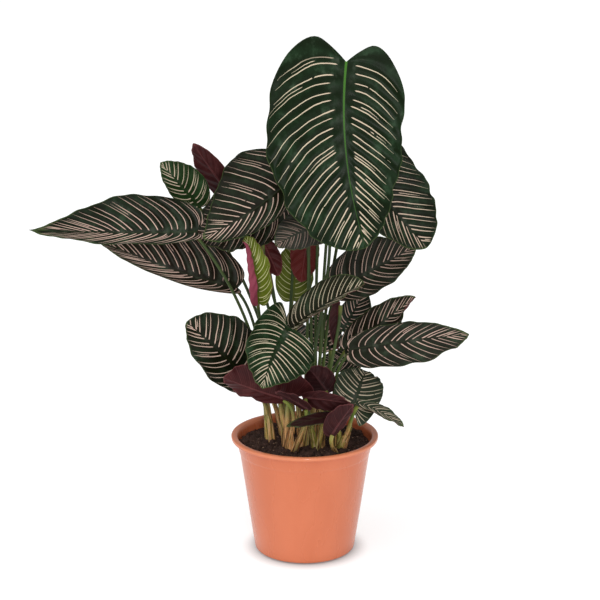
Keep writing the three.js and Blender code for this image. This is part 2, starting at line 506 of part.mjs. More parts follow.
// Blade as a closed sheet: the same grid above and below the middle, joined round the margin.
function bladeGeometry(leaf) {
  const rows = leaf.large ? ROWS_LARGE : ROWS_SMALL;
  const half = leaf.large ? COLUMNS_LARGE : COLUMNS_SMALL;
  const columns = 2 * half + 1;
  const rib = midrib(leaf);
  const upper = [];
  const lower = [];
  for (let i = 0; i <= rows; i++) {
    for (let j = -half; j <= half; j++) {
      const { point, normal } = sheetPoint(leaf, rib, i / rows, j / half);
      upper.push(point.clone().addScaledVector(normal, BLADE / 2).toArray());
      lower.push(point.clone().addScaledVector(normal, -BLADE / 2).toArray());
    }
  }
  const shift = upper.length;
  const triangles = [
    ...gridTriangles(rows + 1, columns, 0, false),
    ...gridTriangles(rows + 1, columns, shift, true),
  ];
  for (let i = 0; i < rows; i++) {
    const left = i * columns;
    const right = left + columns - 1;
    triangles.push([left, left + columns, left + columns + shift], [left, left + columns + shift, left + shift]);
    triangles.push([right, right + columns + shift, right + columns], [right, right + shift, right + columns + shift]);
  }
  const { positions, index } = weld([...upper, ...lower], triangles);
  return geometryOf(positions, index);
}

// Middle line of a leaf's stalk: a cubic curve from the soil to the given drop under the blade, near its base.
function stalkPath(leaf, drop) {
  const { point, along, face } = midribFrame(midrib(leaf), 0);
  const end = point.addScaledVector(face, -drop).addScaledVector(along, STALK_INSET);
  const [x, y] = CROWNS[leaf.crown];
  const foot = new THREE.Vector3(x + leaf.foot[0], y + leaf.foot[1], SOIL_TOP - STEM_DEPTH);
  const rise = foot.clone().add(new THREE.Vector3(...leaf.rise));
  const neck = end.clone().add(new THREE.Vector3(...leaf.neck));
  return new THREE.CubicBezierCurve3(foot, rise, neck, end).getPoints(STALK_STEPS);
}

// How far under the base of the blade's midrib a disc that faces the heading has to stay, to clear both halves.
function clearDrop(leaf, heading) {
  const { face, aside } = midribFrame(midrib(leaf), 0);
  const drops = leaf.fold.map((fold, side) => {
    const droop = DEGREE * Math.min(0, fold);
    const normal = face.clone().multiplyScalar(Math.cos(droop));
    normal.addScaledVector(aside, (side ? -1 : 1) * Math.sin(droop));
    const lean = Math.sqrt(1 - heading.dot(normal) ** 2);
    return (BLADE / 2 + SEAT_GAP + (STALK_RADIUS + KNEE_EXTRA) * lean) / Math.cos(droop);
  });
  return Math.max(...drops);
}

// Stalk of a leaf, thick at the foot and at the knee, with its end disc just clear of the blade.
function stalk(leaf) {
  const trial = stalkPath(leaf, STALK_RADIUS);
  const heading = trial[STALK_STEPS].clone().sub(trial[STALK_STEPS - 1]).normalize();
  const path = stalkPath(leaf, clearDrop(leaf, heading));
  const length = path.slice(1).reduce((sum, p, i) => sum + p.distanceTo(path[i]), 0);
  const wrapped = Math.min(SHEATH_LENGTH, length / 2);
  const radii = path.map((_, i) => {
    const gone = (i / STALK_STEPS) * length;
    const sheath = SHEATH_EXTRA * Math.exp(-((gone / wrapped) ** 2));
    const knee = KNEE_EXTRA * Math.exp(-(((length - gone) / KNEE_LENGTH) ** 2));
    return STALK_RADIUS + sheath + knee;
  });
  return { path, radii };
}

// All stalks of one crown, joined where their sheaths wrap each other.
function crownSolid(crown) {
  const stalks = LEAVES.filter((leaf) => leaf.crown === crown).map((leaf) => {
    const { path, radii } = stalk(leaf);
    return tube(path, radii);
  });
  return wasm.Manifold.union(stalks);
}

const COLOURS = {
  pot: "#cf7650",
  soil: "#3b2b22",
  stalk: "#7f9650",
  leaf: "#24482e",
  young: "#8fa43a",
};

function plainMaterial(colour, roughness) {
  return new THREE.MeshStandardMaterial({ color: colour, roughness, metalness: 0 });
}

function addMesh(group, name, geometry, material) {
  const mesh = new THREE.Mesh(geometry, material);
  mesh.name = name;
  group.add(mesh);
}

const plant = new THREE.Group();
plant.name = "potted_calathea";
addMesh(plant, "pot", geometryOfSolid(potSolid()), plainMaterial(COLOURS.pot, 0.45));
addMesh(plant, "soil", geometryOfSolid(soilSolid()), plainMaterial(COLOURS.soil, 0.95));
for (const crown of Object.keys(CROWNS)) {
  addMesh(plant, `crown_${crown}`, geometryOfSolid(crownSolid(crown)), plainMaterial(COLOURS.stalk, 0.6));
}
for (const leaf of LEAVES) {
  const colour = leaf.name.startsWith("young") ? COLOURS.young : COLOURS.leaf;
  addMesh(plant, `leaf_${leaf.name}`, bladeGeometry(leaf), plainMaterial(colour, 0.5));
}

export default plant;
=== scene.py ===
"""Potted calathea: a striped-leaf house plant in a round plastic nursery pot, on a pale studio floor.

Metres, +Z up. The origin is the centre of the pot's flat underside, and -Y is the front. Sizes of leaves are
in mm, and the working parts turn them into metres with MM.
"""
import math

import bmesh
import bpy
import numpy as np
from bpy.props import FloatProperty, FloatVectorProperty, IntProperty, PointerProperty
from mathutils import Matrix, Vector


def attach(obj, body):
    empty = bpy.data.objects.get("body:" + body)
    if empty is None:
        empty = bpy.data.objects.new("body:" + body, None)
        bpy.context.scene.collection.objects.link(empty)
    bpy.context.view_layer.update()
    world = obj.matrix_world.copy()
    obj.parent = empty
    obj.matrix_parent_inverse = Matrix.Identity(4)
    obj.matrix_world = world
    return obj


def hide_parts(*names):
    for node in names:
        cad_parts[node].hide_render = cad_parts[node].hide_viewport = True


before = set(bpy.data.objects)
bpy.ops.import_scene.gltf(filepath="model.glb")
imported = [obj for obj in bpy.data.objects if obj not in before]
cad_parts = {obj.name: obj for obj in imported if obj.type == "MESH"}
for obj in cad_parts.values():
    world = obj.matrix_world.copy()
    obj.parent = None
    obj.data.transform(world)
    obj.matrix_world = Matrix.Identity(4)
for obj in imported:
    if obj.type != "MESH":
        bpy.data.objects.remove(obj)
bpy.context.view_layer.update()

bl_info = {
    "name": "Potted Calathea",
    "version": (1, 0, 0),
    "blender": (4, 5, 0),
    "location": "3D View > Sidebar > Calathea",
    "description": "Builds a striped-leaf calathea in a plastic nursery pot, with its studio stage",
    "category": "Add Mesh",
}

MM = 0.001
BODY = "root"
TAU = 2 * math.pi

# Outline and side veins of every blade, as fractions. Rows of a blade are its side veins.
FAN = 0.14
FIRST_EDGE = 0.15
SWEEP = 1.85
VEIN_BOW = 0.16
# Waves of a margin: their number, the shift of the right side, how they grow outwards, how fast they set in.
WAVE_COUNT = 3
WAVE_SHIFT = 0.37
WAVE_POWER = 2.5
WAVE_FADE = 4
# Waves of the outline: number, height as a share of the half width, and shift for each mm of half width. They
# are uneven through a drift in the turn (size, rate) and a finer wave (height, rate).
EDGE_COUNT = 5
EDGE_WAVE = 0.013
EDGE_SHIFT = 1 / 7
EDGE_DRIFT = (0.9, 0.37)
EDGE_FINE = (0.4, 2.3)
# How the fold at the tip grows along the midrib, and over which share of the width a margin curls over.
ROLL_POWER = 4
WRAP_COLUMNS = (0.35, 0.85)
# Small waves of the margin: number, shift for each leaf, and height; how they grow outwards and set in at the
# ends; half width in mm at which they have their full height, and the most that a wider leaf has.
CRINKLES = ((5, 0.29, 1), (11, 0.61, 0.6))
CRINKLE_POWER = 5
CRINKLE_FADE = 6
CRINKLE_HALF = 30
CRINKLE_MOST = 1.8
# Quilting is full where side veins are this many mm apart, and grows to the given most where they are further
# apart. It sets in between these shares of the width and of FAN, and fades over a share of it at the margin.
QUILT_PITCH = 10
QUILT_MOST = 1.7
QUILT_COLUMNS = (0.03, 0.2)
QUILT_ROWS = (0.6, 1.3)
QUILT_FADE = 0.12
# Columns crowd towards the midrib. It thins to the tip, and stands out a little on the upper side too, by a
# height in metres and with a half width that is a share of its own.
COLUMN_POWER = 1.35
RIB_THINS = 0.85
CREST_HEIGHT = 0.00035
CREST_WIDTH = 0.6
# Rows and columns of half a blade, the fewest pairs of stripes, and the further pairs of a lobe that is as
# long as its blade.
FINE_GRID = (150, 34)
COARSE_GRID = (84, 22)
FEWEST_PAIRS = 5
LOBE_PAIRS = 5
# Place of the lower, the upper and the short stripe from one side vein (0) to the next (1), and how far a
# long one's place varies. As shares of the blade's width: where it starts, how much later it may start, how
# much earlier it may end, and the bare margin of the left half of a bold leaf.
STRIPE_PLACES = (0.26, 0.66, 0.475)
STRIPE_VARIES = 0.06
STRIPE_START = 0.03
STRIPE_LATE = 0.07
STRIPE_EARLY = 0.08
BARE_MARGIN = 0.09
# A stripe grows and shrinks over these shares of the blade's width, and loses a share of its own at the end.
STRIPE_GROWS = 0.05
STRIPE_SHRINKS = 0.2
STRIPE_THINS = 0.6
# Most that half a stripe takes of the distance between side veins, the distances in mm over which stripes set
# in, the least half width in mm that is painted, and how sharp and how wide the painted edge is.
STRIPE_MOST = 0.09
STRIPE_PITCH = (1.5, 4.5)
STRIPE_LEAST = 0.07
STRIPE_SHARP = 3.5
STRIPE_EDGE = 0.3

# Where each crown of stalks comes out of the soil, in mm.
CROWNS = {"a": (-44, -6), "b": (-22, -28), "c": (-2, -14), "d": (18, -24), "e": (40, -22), "f": (-20, 18),
          "g": (14, 18)}

# Low waves that cross each other on the soil: height in mm, radians a mm along x and y, and a start.
LUMPS = ((1.2, 0.09, 0.05, 1), (0.8, -0.04, 0.08, 0), (0.5, 0.19, -0.11, 2))
# Fine waves of the soil: shortest and longest in metres, height as a share of the length, and sharpness.
SOIL_WAVES = (0.005, 0.04)
SOIL_SHARE = 0.010
SOIL_SHARP = 0.8
# Bank of soil round a crown, in metres.
BANK_HEIGHT = 0.0022
BANK_RADIUS = 0.011


# Leaf measures that one number may give for both sides.
PAIRED = ("half", "lobe", "widest", "point", "fold", "curl", "roll", "wrap")


def leaf_row(name, base, tip, face, half, crown, foot, rise, neck, large=False, arch=4, sway=0, wave=1,
             notch=0.3, lobe=0.08, widest=0.42, point=1.3, fold=10, curl=0, roll=0, wrap=0,
             wrap_rows=(0.3, 0.85), spacing=10.5, line=0.42, grey=0, cream=0.2, blush=0, dusk=0, fresh=0,
             bold=False, young=False):
    """Sizes and look of one leaf, in mm and degrees. A pair is the left and the right side, seen from above
    with the tip up, and one number stands for both.

    base, tip    ends of the midrib; arch lifts its middle towards the face, and sway bends it to the right
    face         the way that the upper side looks
    half         half width; lobe, widest and point shape the outline, notch is the width of the base's cut
    fold         angle of each half at the midrib; curl is its further bend out to the margin, roll its
                 further fold at the tip, and wave the height of the margin's waves
    wrap         how far each margin curls over, which grows from the first to the second of wrap_rows
    crown, foot  the stalk's crown and its place there; it sets off along rise and comes in from neck
    spacing      distance between pairs of stripes; line is the half width of a stripe
    grey, cream, blush, dusk, fresh   shares of grey, creamy stripes, red under side, painted shade that darkens the leaf towards purple, and fresh green
    bold, young  a bold leaf has bare lobes and a green midrib, a young one is pale, and a large one is finer
    """
    leaf = dict(locals())
    for key in PAIRED:
        if not isinstance(leaf[key], tuple):
            leaf[key] = (leaf[key], leaf[key])
    return leaf


LEAVES = [
    leaf_row("top_front", (49, -40, 635), (73, -80, 417), (0, -1, 0.25), (72, 94), "g", (0, -2),
             (0, 24, 200), (-38, 48, -95), large=True, arch=14, sway=24, wave=2, lobe=(0.15, 0.19),
             widest=(0.2, 0.36), point=(1.15, 1), fold=(6, 4), curl=(-10, 10), roll=(-40, 0), spacing=16,
             line=0.56, cream=0.8, fresh=0.05, bold=True),
    leaf_row("top_right", (46, 20, 555), (153, -10, 403), (0.1, -1, 0.35), (56, 39), "g", (4, -2),
             (0, 8, 200), (-14, 20, -50), large=True, arch=12, sway=24, wave=2, widest=(0.55, 0.42),
             point=(1, 1.2), fold=(12, 8), spacing=15.5, line=0.5, cream=0.5, dusk=0.1),
    leaf_row("upper_left", (-4, 0, 501), (-125, -45, 422), (-0.15, -0.9, 0.6), (27, 71), "c", (2, 2),
             (0, 8, 160), (20, 30, -60), large=True, arch=14, sway=-24, widest=(0.42, 0.32),
             point=(1.3, 1.8), fold=(-22, 4), curl=(-34, 0), spacing=15.5, line=0.46, cream=0.3, dusk=0.2),
    leaf_row("upper_left_under", (-21, 45, 446), (-137, 15, 409), (-0.1, -0.95, 0.7), (46, 51), "f",
             (-4, 0), (-6, 4, 160), (24, 0, -50), large=True, arch=12, wave=2, point=1.4, fold=(5, 8),
             spacing=12, dusk=0.3),
    leaf_row("long_left", (-134, -12, 423), (-339, -35, 430), (0, -0.95, 0.4), (16, 47), "a", (3, 2),
             (-10, 8, 160), (40, 16, -60), large=True, arch=10, sway=-6, wave=2.5, lobe=0.1, widest=0.33,
             point=(1.5, 3), fold=(-30, 12), spacing=15, dusk=0.1),
    leaf_row("long_left_under", (-86, 30, 341), (-262, 15, 407), (-0.1, -0.75, 0.7), (15, 50), "a", (-2, 3),
             (-4, 6, 90), (32, 8, -30), large=True, arch=12, sway=-16, point=(1.4, 1.6), fold=(-10, 25),
             spacing=16, line=0.4, dusk=0.35),
    leaf_row("small_top_left", (-134, 47, 442), (-182, 37, 502), (0.2, -0.9, 0.1), (18, 30), "f", (-4, 5),
             (-16, 16, 180), (23, 19, -35), point=1.5, fold=(10, 15), spacing=11, line=0.5, cream=0.7,
             fresh=0.25),
    leaf_row("purple_top", (-94, 75, 450), (-142, 60, 523), (0, 0.95, 0.2), (16, 21), "f", (0, 6),
             (-10, 20, 180), (12, 6, -40), arch=-6, point=1.5, fold=20, blush=0.15, dusk=0.3),
    leaf_row("grey_centre", (29, 0, 433), (-36, -35, 410), (-0.2, -0.8, 0.8), 30, "c", (3, -3), (0, 0, 140),
             (20, 16, -40), arch=8, fold=(5, 8), spacing=8, line=0.3, grey=0.8, dusk=0.4),
    leaf_row("young_front", (-59, -5, 330), (-73, -10, 417), (0.1, -1, 0.1), (26, 23), "b", (-2, 3),
             (0, 4, 80), (-2, 12, -37), sway=8, point=1.1, fold=(30, 25), wrap=(175, 30),
             wrap_rows=(0.95, 0.6), spacing=10, line=0.4, young=True),
    leaf_row("young_rear", (-16, 45, 321), (-11, 50, 399), (0.1, -1, 0.1), 25, "f", (3, 2), (0, 6, 100),
             (-4, 10, -38), point=1.2, fold=(10, 5), spacing=10, line=0.35, grey=0.2, young=True),
    leaf_row("hanging_rear", (4, 28, 409), (-5, 20, 351), (0, 0.8, 0), 19, "g", (-3, -4), (0, 0, 120),
             (2, -10, -40), fold=15, blush=1),
    leaf_row("hanging_centre", (-54, 12, 407), (-33, 0, 364), (0, 0.8, 0), 14, "c", (-2, 3), (0, 0, 120),
             (-2, -10, -40), fold=15, blush=0.3),
    leaf_row("heart_front", (-21, -55, 311), (-52, -105, 248), (0.15, -0.85, 0.6), (49, 39), "b", (-2, -3),
             (0, -6, 80), (10, 14, -40), large=True, arch=10, sway=6, wave=1.5, notch=0.55,
             lobe=(0.08, 0.62), point=(1.9, 1.7), fold=(10, 20), spacing=9, line=0.44, cream=0.9,
             fresh=0.1),
    leaf_row("folded_centre", (-16, -35, 305), (73, -60, 368), (0.1, -0.6, 0.8), (28, 16), "c", (-3, -2),
             (0, 0, 80), (-12, 8, -40), large=True, arch=10, widest=(0.6, 0.42), point=(1.1, 1.3),
             fold=(40, 35), spacing=11.5, line=0.36, cream=0.9, dusk=0.3, fresh=0.06),
    leaf_row("right_rear", (39, 30, 338), (141, 25, 397), (0.3, -0.9, 0.4), (40, 29), "g", (5, 0),
             (4, 4, 100), (-16, 8, -30), large=True, arch=8, wave=2, point=1.4, fold=15, spacing=12.5,
             line=0.4, grey=0.2, dusk=0.2),
    leaf_row("right_inner", (49, 62, 276), (79, 66, 329), (0.3, -0.9, 0.2), (21, 23), "g", (5, 5),
             (4, 14, 80), (-14, 8, -26), point=1.4, fold=15, spacing=9, grey=0.1),
    leaf_row("right_upper", (51, -10, 270), (139, -15, 340), (0.2, -0.9, 0.5), (23, 27), "d", (3, 3),
             (0, 4, 90), (-20, 8, -30), large=True, arch=6, wave=1.5, fold=(10, 15), roll=(0, 40),
             wrap=(0, 150), spacing=13, line=0.4, blush=0.4, dusk=0.3),
    leaf_row("right_lower", (56, -45, 280), (201, -70, 307), (0.1, -0.9, 0.6), (24, 35), "e", (-2, -5),
             (0, 0, 80), (-32, 6, -30), large=True, arch=10, wave=2, point=(1.8, 1.4), fold=15,
             spacing=17.5, grey=0.15, dusk=0.2),
    leaf_row("right_under", (76, 68, 234), (18, 64, 229), (0, -1, 0.6), 16, "g", (6, 4), (10, 10, 50),
             (8, 0, -16), point=1.2, spacing=9, grey=0.3),
    leaf_row("round_low_right", (60, -60, 214), (77, -20, 245), (0.1, -0.8, 0.6), 31, "e", (3, -3),
             (6, -10, 30), (0, 4, -30), large=True, arch=6, notch=0.4, lobe=(0.45, 0.75), point=1.1,
             spacing=8.5, line=0.55, grey=0.5, cream=0.8, fresh=0.1),
    leaf_row("thin_low_right", (63, -74, 220), (121, -98, 197), (0.2, -0.45, 1), (12, 8), "e", (5, 1),
             (12, -14, 40), (-10, -4, -14), arch=8, point=1.4, spacing=9, line=0.36, grey=0.5, cream=0.7,
             fresh=0.15),
    leaf_row("purple_low_front", (32, -75, 177), (59, -95, 225), (0, 0.8, 0.5), (9, 18), "e", (0, -8),
             (0, -10, 14), (-5, -9, -9), point=1.4, blush=0.05, dusk=0.3),
    leaf_row("thin_low_front", (39, -58, 199), (-23, -102, 199), (0, -0.8, 0.6), 8, "e", (0, -4),
             (8, -8, 30), (8, 2, -14), point=1.4, fold=5, spacing=12, line=0, dusk=1),
    leaf_row("purple_band", (-2, -64, 224), (56, -88, 223), (0, 0.95, 0.3), (18, 11), "d", (-4, 1),
             (-4, -8, 40), (6, -3, -18), point=1.2, fold=5, blush=0.1, dusk=0.5),
    leaf_row("purple_small", (5, -71, 210), (-37, -82, 237), (0, 0.6, 0.8), 12, "b", (5, -1), (6, -12, 26),
             (4, 6, -18), point=1.4, fold=5, dusk=0.7),
    leaf_row("purple_low_left", (-24, -54, 219), (-100, -74, 253), (0, 0.9, 0.45), (42, 24), "b", (3, -4),
             (0, -6, 40), (22, 0, -16), large=True, arch=-4, wave=2, lobe=(0.5, 0.08), point=(1.3, 1.2),
             fold=15, blush=0.15),
    leaf_row("purple_centre", (29, -44, 223), (5, -38, 254), (0, 0.9, 0.3), 20, "d", (-2, -3), (0, -4, 30),
             (7, -10, -12), point=1.1, dusk=0.7),
    leaf_row("low_left", (-67, -24, 232), (-146, -52, 318), (-0.3, -0.8, 0.6), (33, 50), "a", (0, -3),
             (-6, 0, 60), (26, 22, -40), large=True, arch=10, wave=2, widest=(0.42, 0.52), point=(1.4, 1.1),
             fold=(10, 20), spacing=13, line=0.52, cream=0.3, dusk=0.15),
    leaf_row("inner_centre", (33, 48, 253), (17, 52, 303), (0, -1, 0.2), 22, "g", (0, 0), (4, 6, 70),
             (8, 8, -25), spacing=9, line=0.8),
    leaf_row("inner_hanging", (43, 0, 329), (43, -8, 269), (-0.6, 0.6, 0.1), 11, "d", (3, -2), (0, 0, 100),
             (0, -10, -40), wave=0, point=1.2, fold=40, line=0, dusk=0.8),
    leaf_row("back_top", (50, 60, 443), (30, 110, 572), (0, 0.8, 0.6), 52, "g", (0, 8), (0, 20, 160),
             (1, -30, -30), large=True, arch=12, wave=2),
    leaf_row("back_left", (-56, 85, 416), (-89, 138, 427), (-0.25, 0.5, 0.9), 26, "f", (-2, 8),
             (-4, 26, 160), (6, -24, -34), arch=12, wave=2),
    leaf_row("back_right", (75, 75, 335), (131, 134, 352), (0.35, 0.5, 0.9), 26, "g", (4, 8), (8, 80, 70),
             (-10, -24, -34), arch=12, wave=2),
    leaf_row("back_low_right", (89, 70, 252), (190, 105, 248), (0.3, 0.7, 0.6), 24, "g", (8, 5),
             (10, 80, 50), (-20, 4, -30), arch=8, wave=2, point=1.5),
    leaf_row("back_low_left", (-56, 60, 219), (-123, 118, 230), (-0.3, 0.5, 0.9), 30, "f", (-6, 3),
             (-8, 20, 50), (10, -16, -22), arch=10, wave=2, point=1.4),
    leaf_row("back_centre", (-14, 70, 252), (-22, 138, 259), (-0.2, 0.4, 0.9), 26, "g", (-5, 6),
             (-2, 24, 70), (0, -18, -26), arch=12, wave=2),
]


# ---- Settings ----

def length(name, description, default):
    """A length in metres."""
    return FloatProperty(name=name, description=description, default=default, min=0, unit="LENGTH")


def amount(name, description, default):
    """A number that isn't negative."""
    return FloatProperty(name=name, description=description, default=default, min=0)


def count(name, description, default):
    """A whole number."""
    return IntProperty(name=name, description=description, default=default, min=0)


def factor(name, description, default):
    """A share from 0 to 1."""
    return FloatProperty(name=name, description=description, default=default, min=0, max=1, subtype="FACTOR")


def colour(name, description, default):
    """A colour whose default is six hexadecimal digits."""
    return FloatVectorProperty(name=name, description=description, default=linear(default), min=0, max=1,
                               size=3, subtype="COLOR")


def linear(hexadecimal):
    """Scene-linear colour of a colour written as six hexadecimal digits."""
    shares = [int(hexadecimal[i:i + 2], 16) / 255 for i in (0, 2, 4)]
    return tuple(c / 12.92 if c < 0.04045 else ((c + 0.055) / 1.055) ** 2.4 for c in shares)


class PotSettings(bpy.types.PropertyGroup):
    """Sizes and colour of the plastic nursery pot."""
    height: length("Height", "Height of the pot", 0.155)
    rim_radius: length("Rim radius", "Radius of the rolled lip", 0.095)
    base_radius: length("Base radius", "Radius of the wall at the underside", 0.065)
    top_radius: length("Wall top radius", "Radius of the wall under the lip", 0.088)
    wall: length("Wall", "Thickness of the wall", 0.002)
    lip_depth: length("Lip depth", "Height of the rolled lip", 0.005)
    lip_round: length("Lip round", "Radius of the lip's edge", 0.0015)
    step_below_rim: length("Step below rim", "How far the faint step lies under the rim", 0.023)
    step_depth: length("Step depth", "How deep the step is", 0.0007)
    step_height: length("Step height", "Height of the step", 0.002)
    base_corner: length("Base corner", "Radius of the round edge at the underside", 0.004)
    foot: length("Foot", "How far the wall's lower edge is above the ground", 0.0018)
    floor: length("Floor", "Thickness of the floor", 0.0025)
    drain_radius: length("Drain radius", "Radius of a drain hole", 0.004)
    drain_circle: length("Drain circle", "Radius of the circle of drain holes", 0.038)
    drains: count("Drains", "Number of drain holes", 6)
    plastic: colour("Plastic", "Colour of the plastic", "ce714b")
    plastic_shade: colour("Plastic shade", "Colour of the plastic where the moulding is duller", "c66943")
    # The lip's colour is a painted highlight.
    plastic_lip: colour("Plastic lip", "Colour of the polished lip", "e08d66")
    roughness: factor("Roughness", "How dull the plastic is", 0.3)


class SoilSettings(bpy.types.PropertyGroup):
    """Sizes and colours of the potting soil."""
    top: length("Top", "Height of the soil's surface", 0.143)
    clearance: length("Clearance", "Gap between the soil and the pot", 0.0003)
    crumbs: count("Crumbs", "Number of loose crumbs", 5000)
    crumb_size: length("Crumb size", "Radius of a middling crumb", 0.0013)
    # Dark soil and light soil partly paint shade into the hollows and light onto the lumps.
    dark: colour("Dark soil", "Colour in the hollows", "271a15")
    light: colour("Light soil", "Colour on the lumps", "4e372f")
    fleck: colour("Flecks", "Colour of bits of bark and fibre", "b08f76")


class StalkSettings(bpy.types.PropertyGroup):
    """Sizes and colours of the leaf stalks and their sheaths."""
    radius: length("Radius", "Radius of a stalk in its middle", 0.002)
    sheath_extra: length("Sheath extra", "How much thicker a stalk is at the soil", 0.0022)
    sheath_length: length("Sheath length", "Height over which the foot grows thinner", 0.07)
    knee_extra: length("Knee extra", "How much thicker a stalk is under its blade", 0.0005)
    knee_length: length("Knee length", "Length of the thick end under the blade", 0.014)
    husk: length("Husk", "Thickness of the papery sheath round the foot", 0.0004)
    depth: length("Depth", "How deep the stalks stand in the soil", 0.012)
    seat_gap: length("Seat gap", "Gap that the CAD stalk keeps under its blade", 0.00045)
    inset: length("Inset", "How far ahead of the blade's base the stalk ends", 0.003)
    green: colour("Green", "Colour of a bright stalk", "65782f")
    # Deep green is also the colour of the painted shade on the stalks.
    deep: colour("Deep green", "Colour of a dark stalk", "28391a")
    olive: colour("Olive", "Colour of a fresh sheath", "9c9a3c")
    pale: colour("Pale", "Colour of the palest streaks of a sheath", "ecd2a4")
    tan: colour("Tan", "Colour of an old sheath", "e3a268")
    husk_brown: colour("Husk brown", "Colour of dry husk", "5d3f26")


class BladeSettings(bpy.types.PropertyGroup):
    """Sizes and colours of the leaf blades."""
    thickness: length("Thickness", "Thickness of a blade at the midrib", 0.0009)
    edge: length("Edge", "Thickness of a blade at its margin", 0.0004)
    rib_height: length("Rib height", "How far the midrib stands out under the base", 0.0016)
    rib_width: length("Rib width", "Half width of the midrib at the base", 0.0018)
    quilt: length("Quilting", "How far the blade rises between its side veins", 0.0005)
    crinkle: length("Crinkle", "Height of the small waves of the margin", 0.0011)
    deep: colour("Deep green", "Colour of the upper side", "091305")
    # Sheen green is the colour of a painted sheen.
    sheen: colour("Sheen green", "Colour of the paler bands", "243f28")
    # Gloss is the colour of the painted highlights.
    gloss: colour("Gloss", "Colour of the places that catch the light", "4f5d4c")
    # Grey green is also the colour of the painted sheen near the midrib.
    grey: colour("Grey green", "Colour of a dull old leaf", "3c3e36")
    pink: colour("Pink stripe", "Colour of a pink stripe", "d0aca0")
    cream: colour("Cream stripe", "Colour of a creamy stripe", "d4c8aa")
    rib: colour("Midrib", "Colour of a green midrib", "46782a")
    margin: colour("Margin", "Colour of the thin edge", "4d6034")
    # Dark purple is the colour of painted shade on an under side, and the under side's colour is where
    # painted shade takes an upper side.
    dark: colour("Dark purple", "Colour of a shaded under side", "1c0b0c")
    under: colour("Under side", "Colour of the purple under side", "301416")
    blush: colour("Blush", "Colour of a redder under side", "5f211d")
    # Pale vein is also the colour of the painted sheen on an under side.
    pale: colour("Pale vein", "Colour of the veins of the under side", "8a5050")
    young: colour("Young leaf", "Colour of a young leaf's upper side", "5c681c")
    # The young sheen is the colour of a painted sheen on a young leaf.
    young_sheen: colour("Young sheen", "Colour of a young leaf's paler bands", "7f8a30")
    young_line: colour("Young stripe", "Colour of a young leaf's stripes", "dcd9a0")
    young_under: colour("Young under side", "Colour of a young leaf's under side", "8a3d4e")
    roughness: factor("Roughness", "How dull the upper side is", 0.34)


class StageSettings(bpy.types.PropertyGroup):
    """Floor, light and camera."""
    floor: colour("Floor", "Colour of the floor", "b4b4b4")
    floor_size: length("Floor size", "Width of the floor", 14.0)
    sky: amount("Sky", "Strength of the even light from all round", 0.38)
    key: amount("Key light", "Strength of the large soft light", 1.6)
    fill: amount("Fill light", "Strength of the light on the right", 0.3)
    strip: amount("Strip light", "Power of the tall narrow lamp", 8)
    glow: amount("Glow", "Strength of the light from the paper", 0.7)
    # The glow's fade towards the pot is a painted contact shadow.
    glow_start: length("Glow start", "Distance from the axis at which the paper starts to glow", 0.05)
    glow_end: length("Glow end", "Distance from the axis from which the paper glows in full", 0.088)
    backdrop: amount("Backdrop", "Brightness of the sky where the camera sees it", 1.05)
    softness: FloatProperty(name="Softness", description="Angle that each sun fills in the sky",
                            default=math.radians(80), subtype="ANGLE")
    camera_height: length("Camera height", "Height of the camera", 0.8099)
    camera_distance: length("Camera distance", "How far the camera stands in front of the origin", 1.9043)
    camera_side: FloatProperty(name="Camera side", description="How far the camera is to the right",
                               default=-0.0061, unit="LENGTH")
    camera_tilt: FloatProperty(name="Camera tilt", description="Angle of the view from straight down",
                               default=math.radians(75.925), subtype="ANGLE")
    lens: amount("Lens", "Focal length in mm on a 36 mm sensor", 93.2)


# ---- Node graphs ----

def math_step(kind):
    """Method of a field that puts a math node of one kind behind it."""
    return lambda field, *others: field.graph.math(kind, field, *others)


class Field:
    """One number in a material's node graph, which can be used in a formula. share gives what is left above
    the whole number, and over gives 1 above a limit, otherwise 0."""

    def __init__(self, graph, socket):
        self.graph = graph
        self.socket = socket

    def __rsub__(self, other):
        return self.graph.math("SUBTRACT", other, self)

    __add__ = __radd__ = math_step("ADD")
    __sub__ = math_step("SUBTRACT")
    __mul__ = __rmul__ = math_step("MULTIPLY")
    __abs__ = math_step("ABSOLUTE")
    floor = math_step("FLOOR")
    share = math_step("FRACT")
    over = math_step("GREATER_THAN")
    least = math_step("MINIMUM")
    most = math_step("MAXIMUM")
    power = math_step("POWER")
    cosine = math_step("COSINE")

    def clipped(self):
        """The number, kept between 0 and 1."""
        return self.least(1).most(0)

    def rise(self, start, end):
        """0 up to start and 1 past end, with a smooth step between them."""
        node = self.graph.node("MapRange", interpolation_type="SMOOTHSTEP", clamp=True)
        for name, value in (("Value", self), ("From Min", start), ("From Max", end)):
            self.graph.put(value, node.inputs[name])
        return Field(self.graph, node.outputs["Result"])


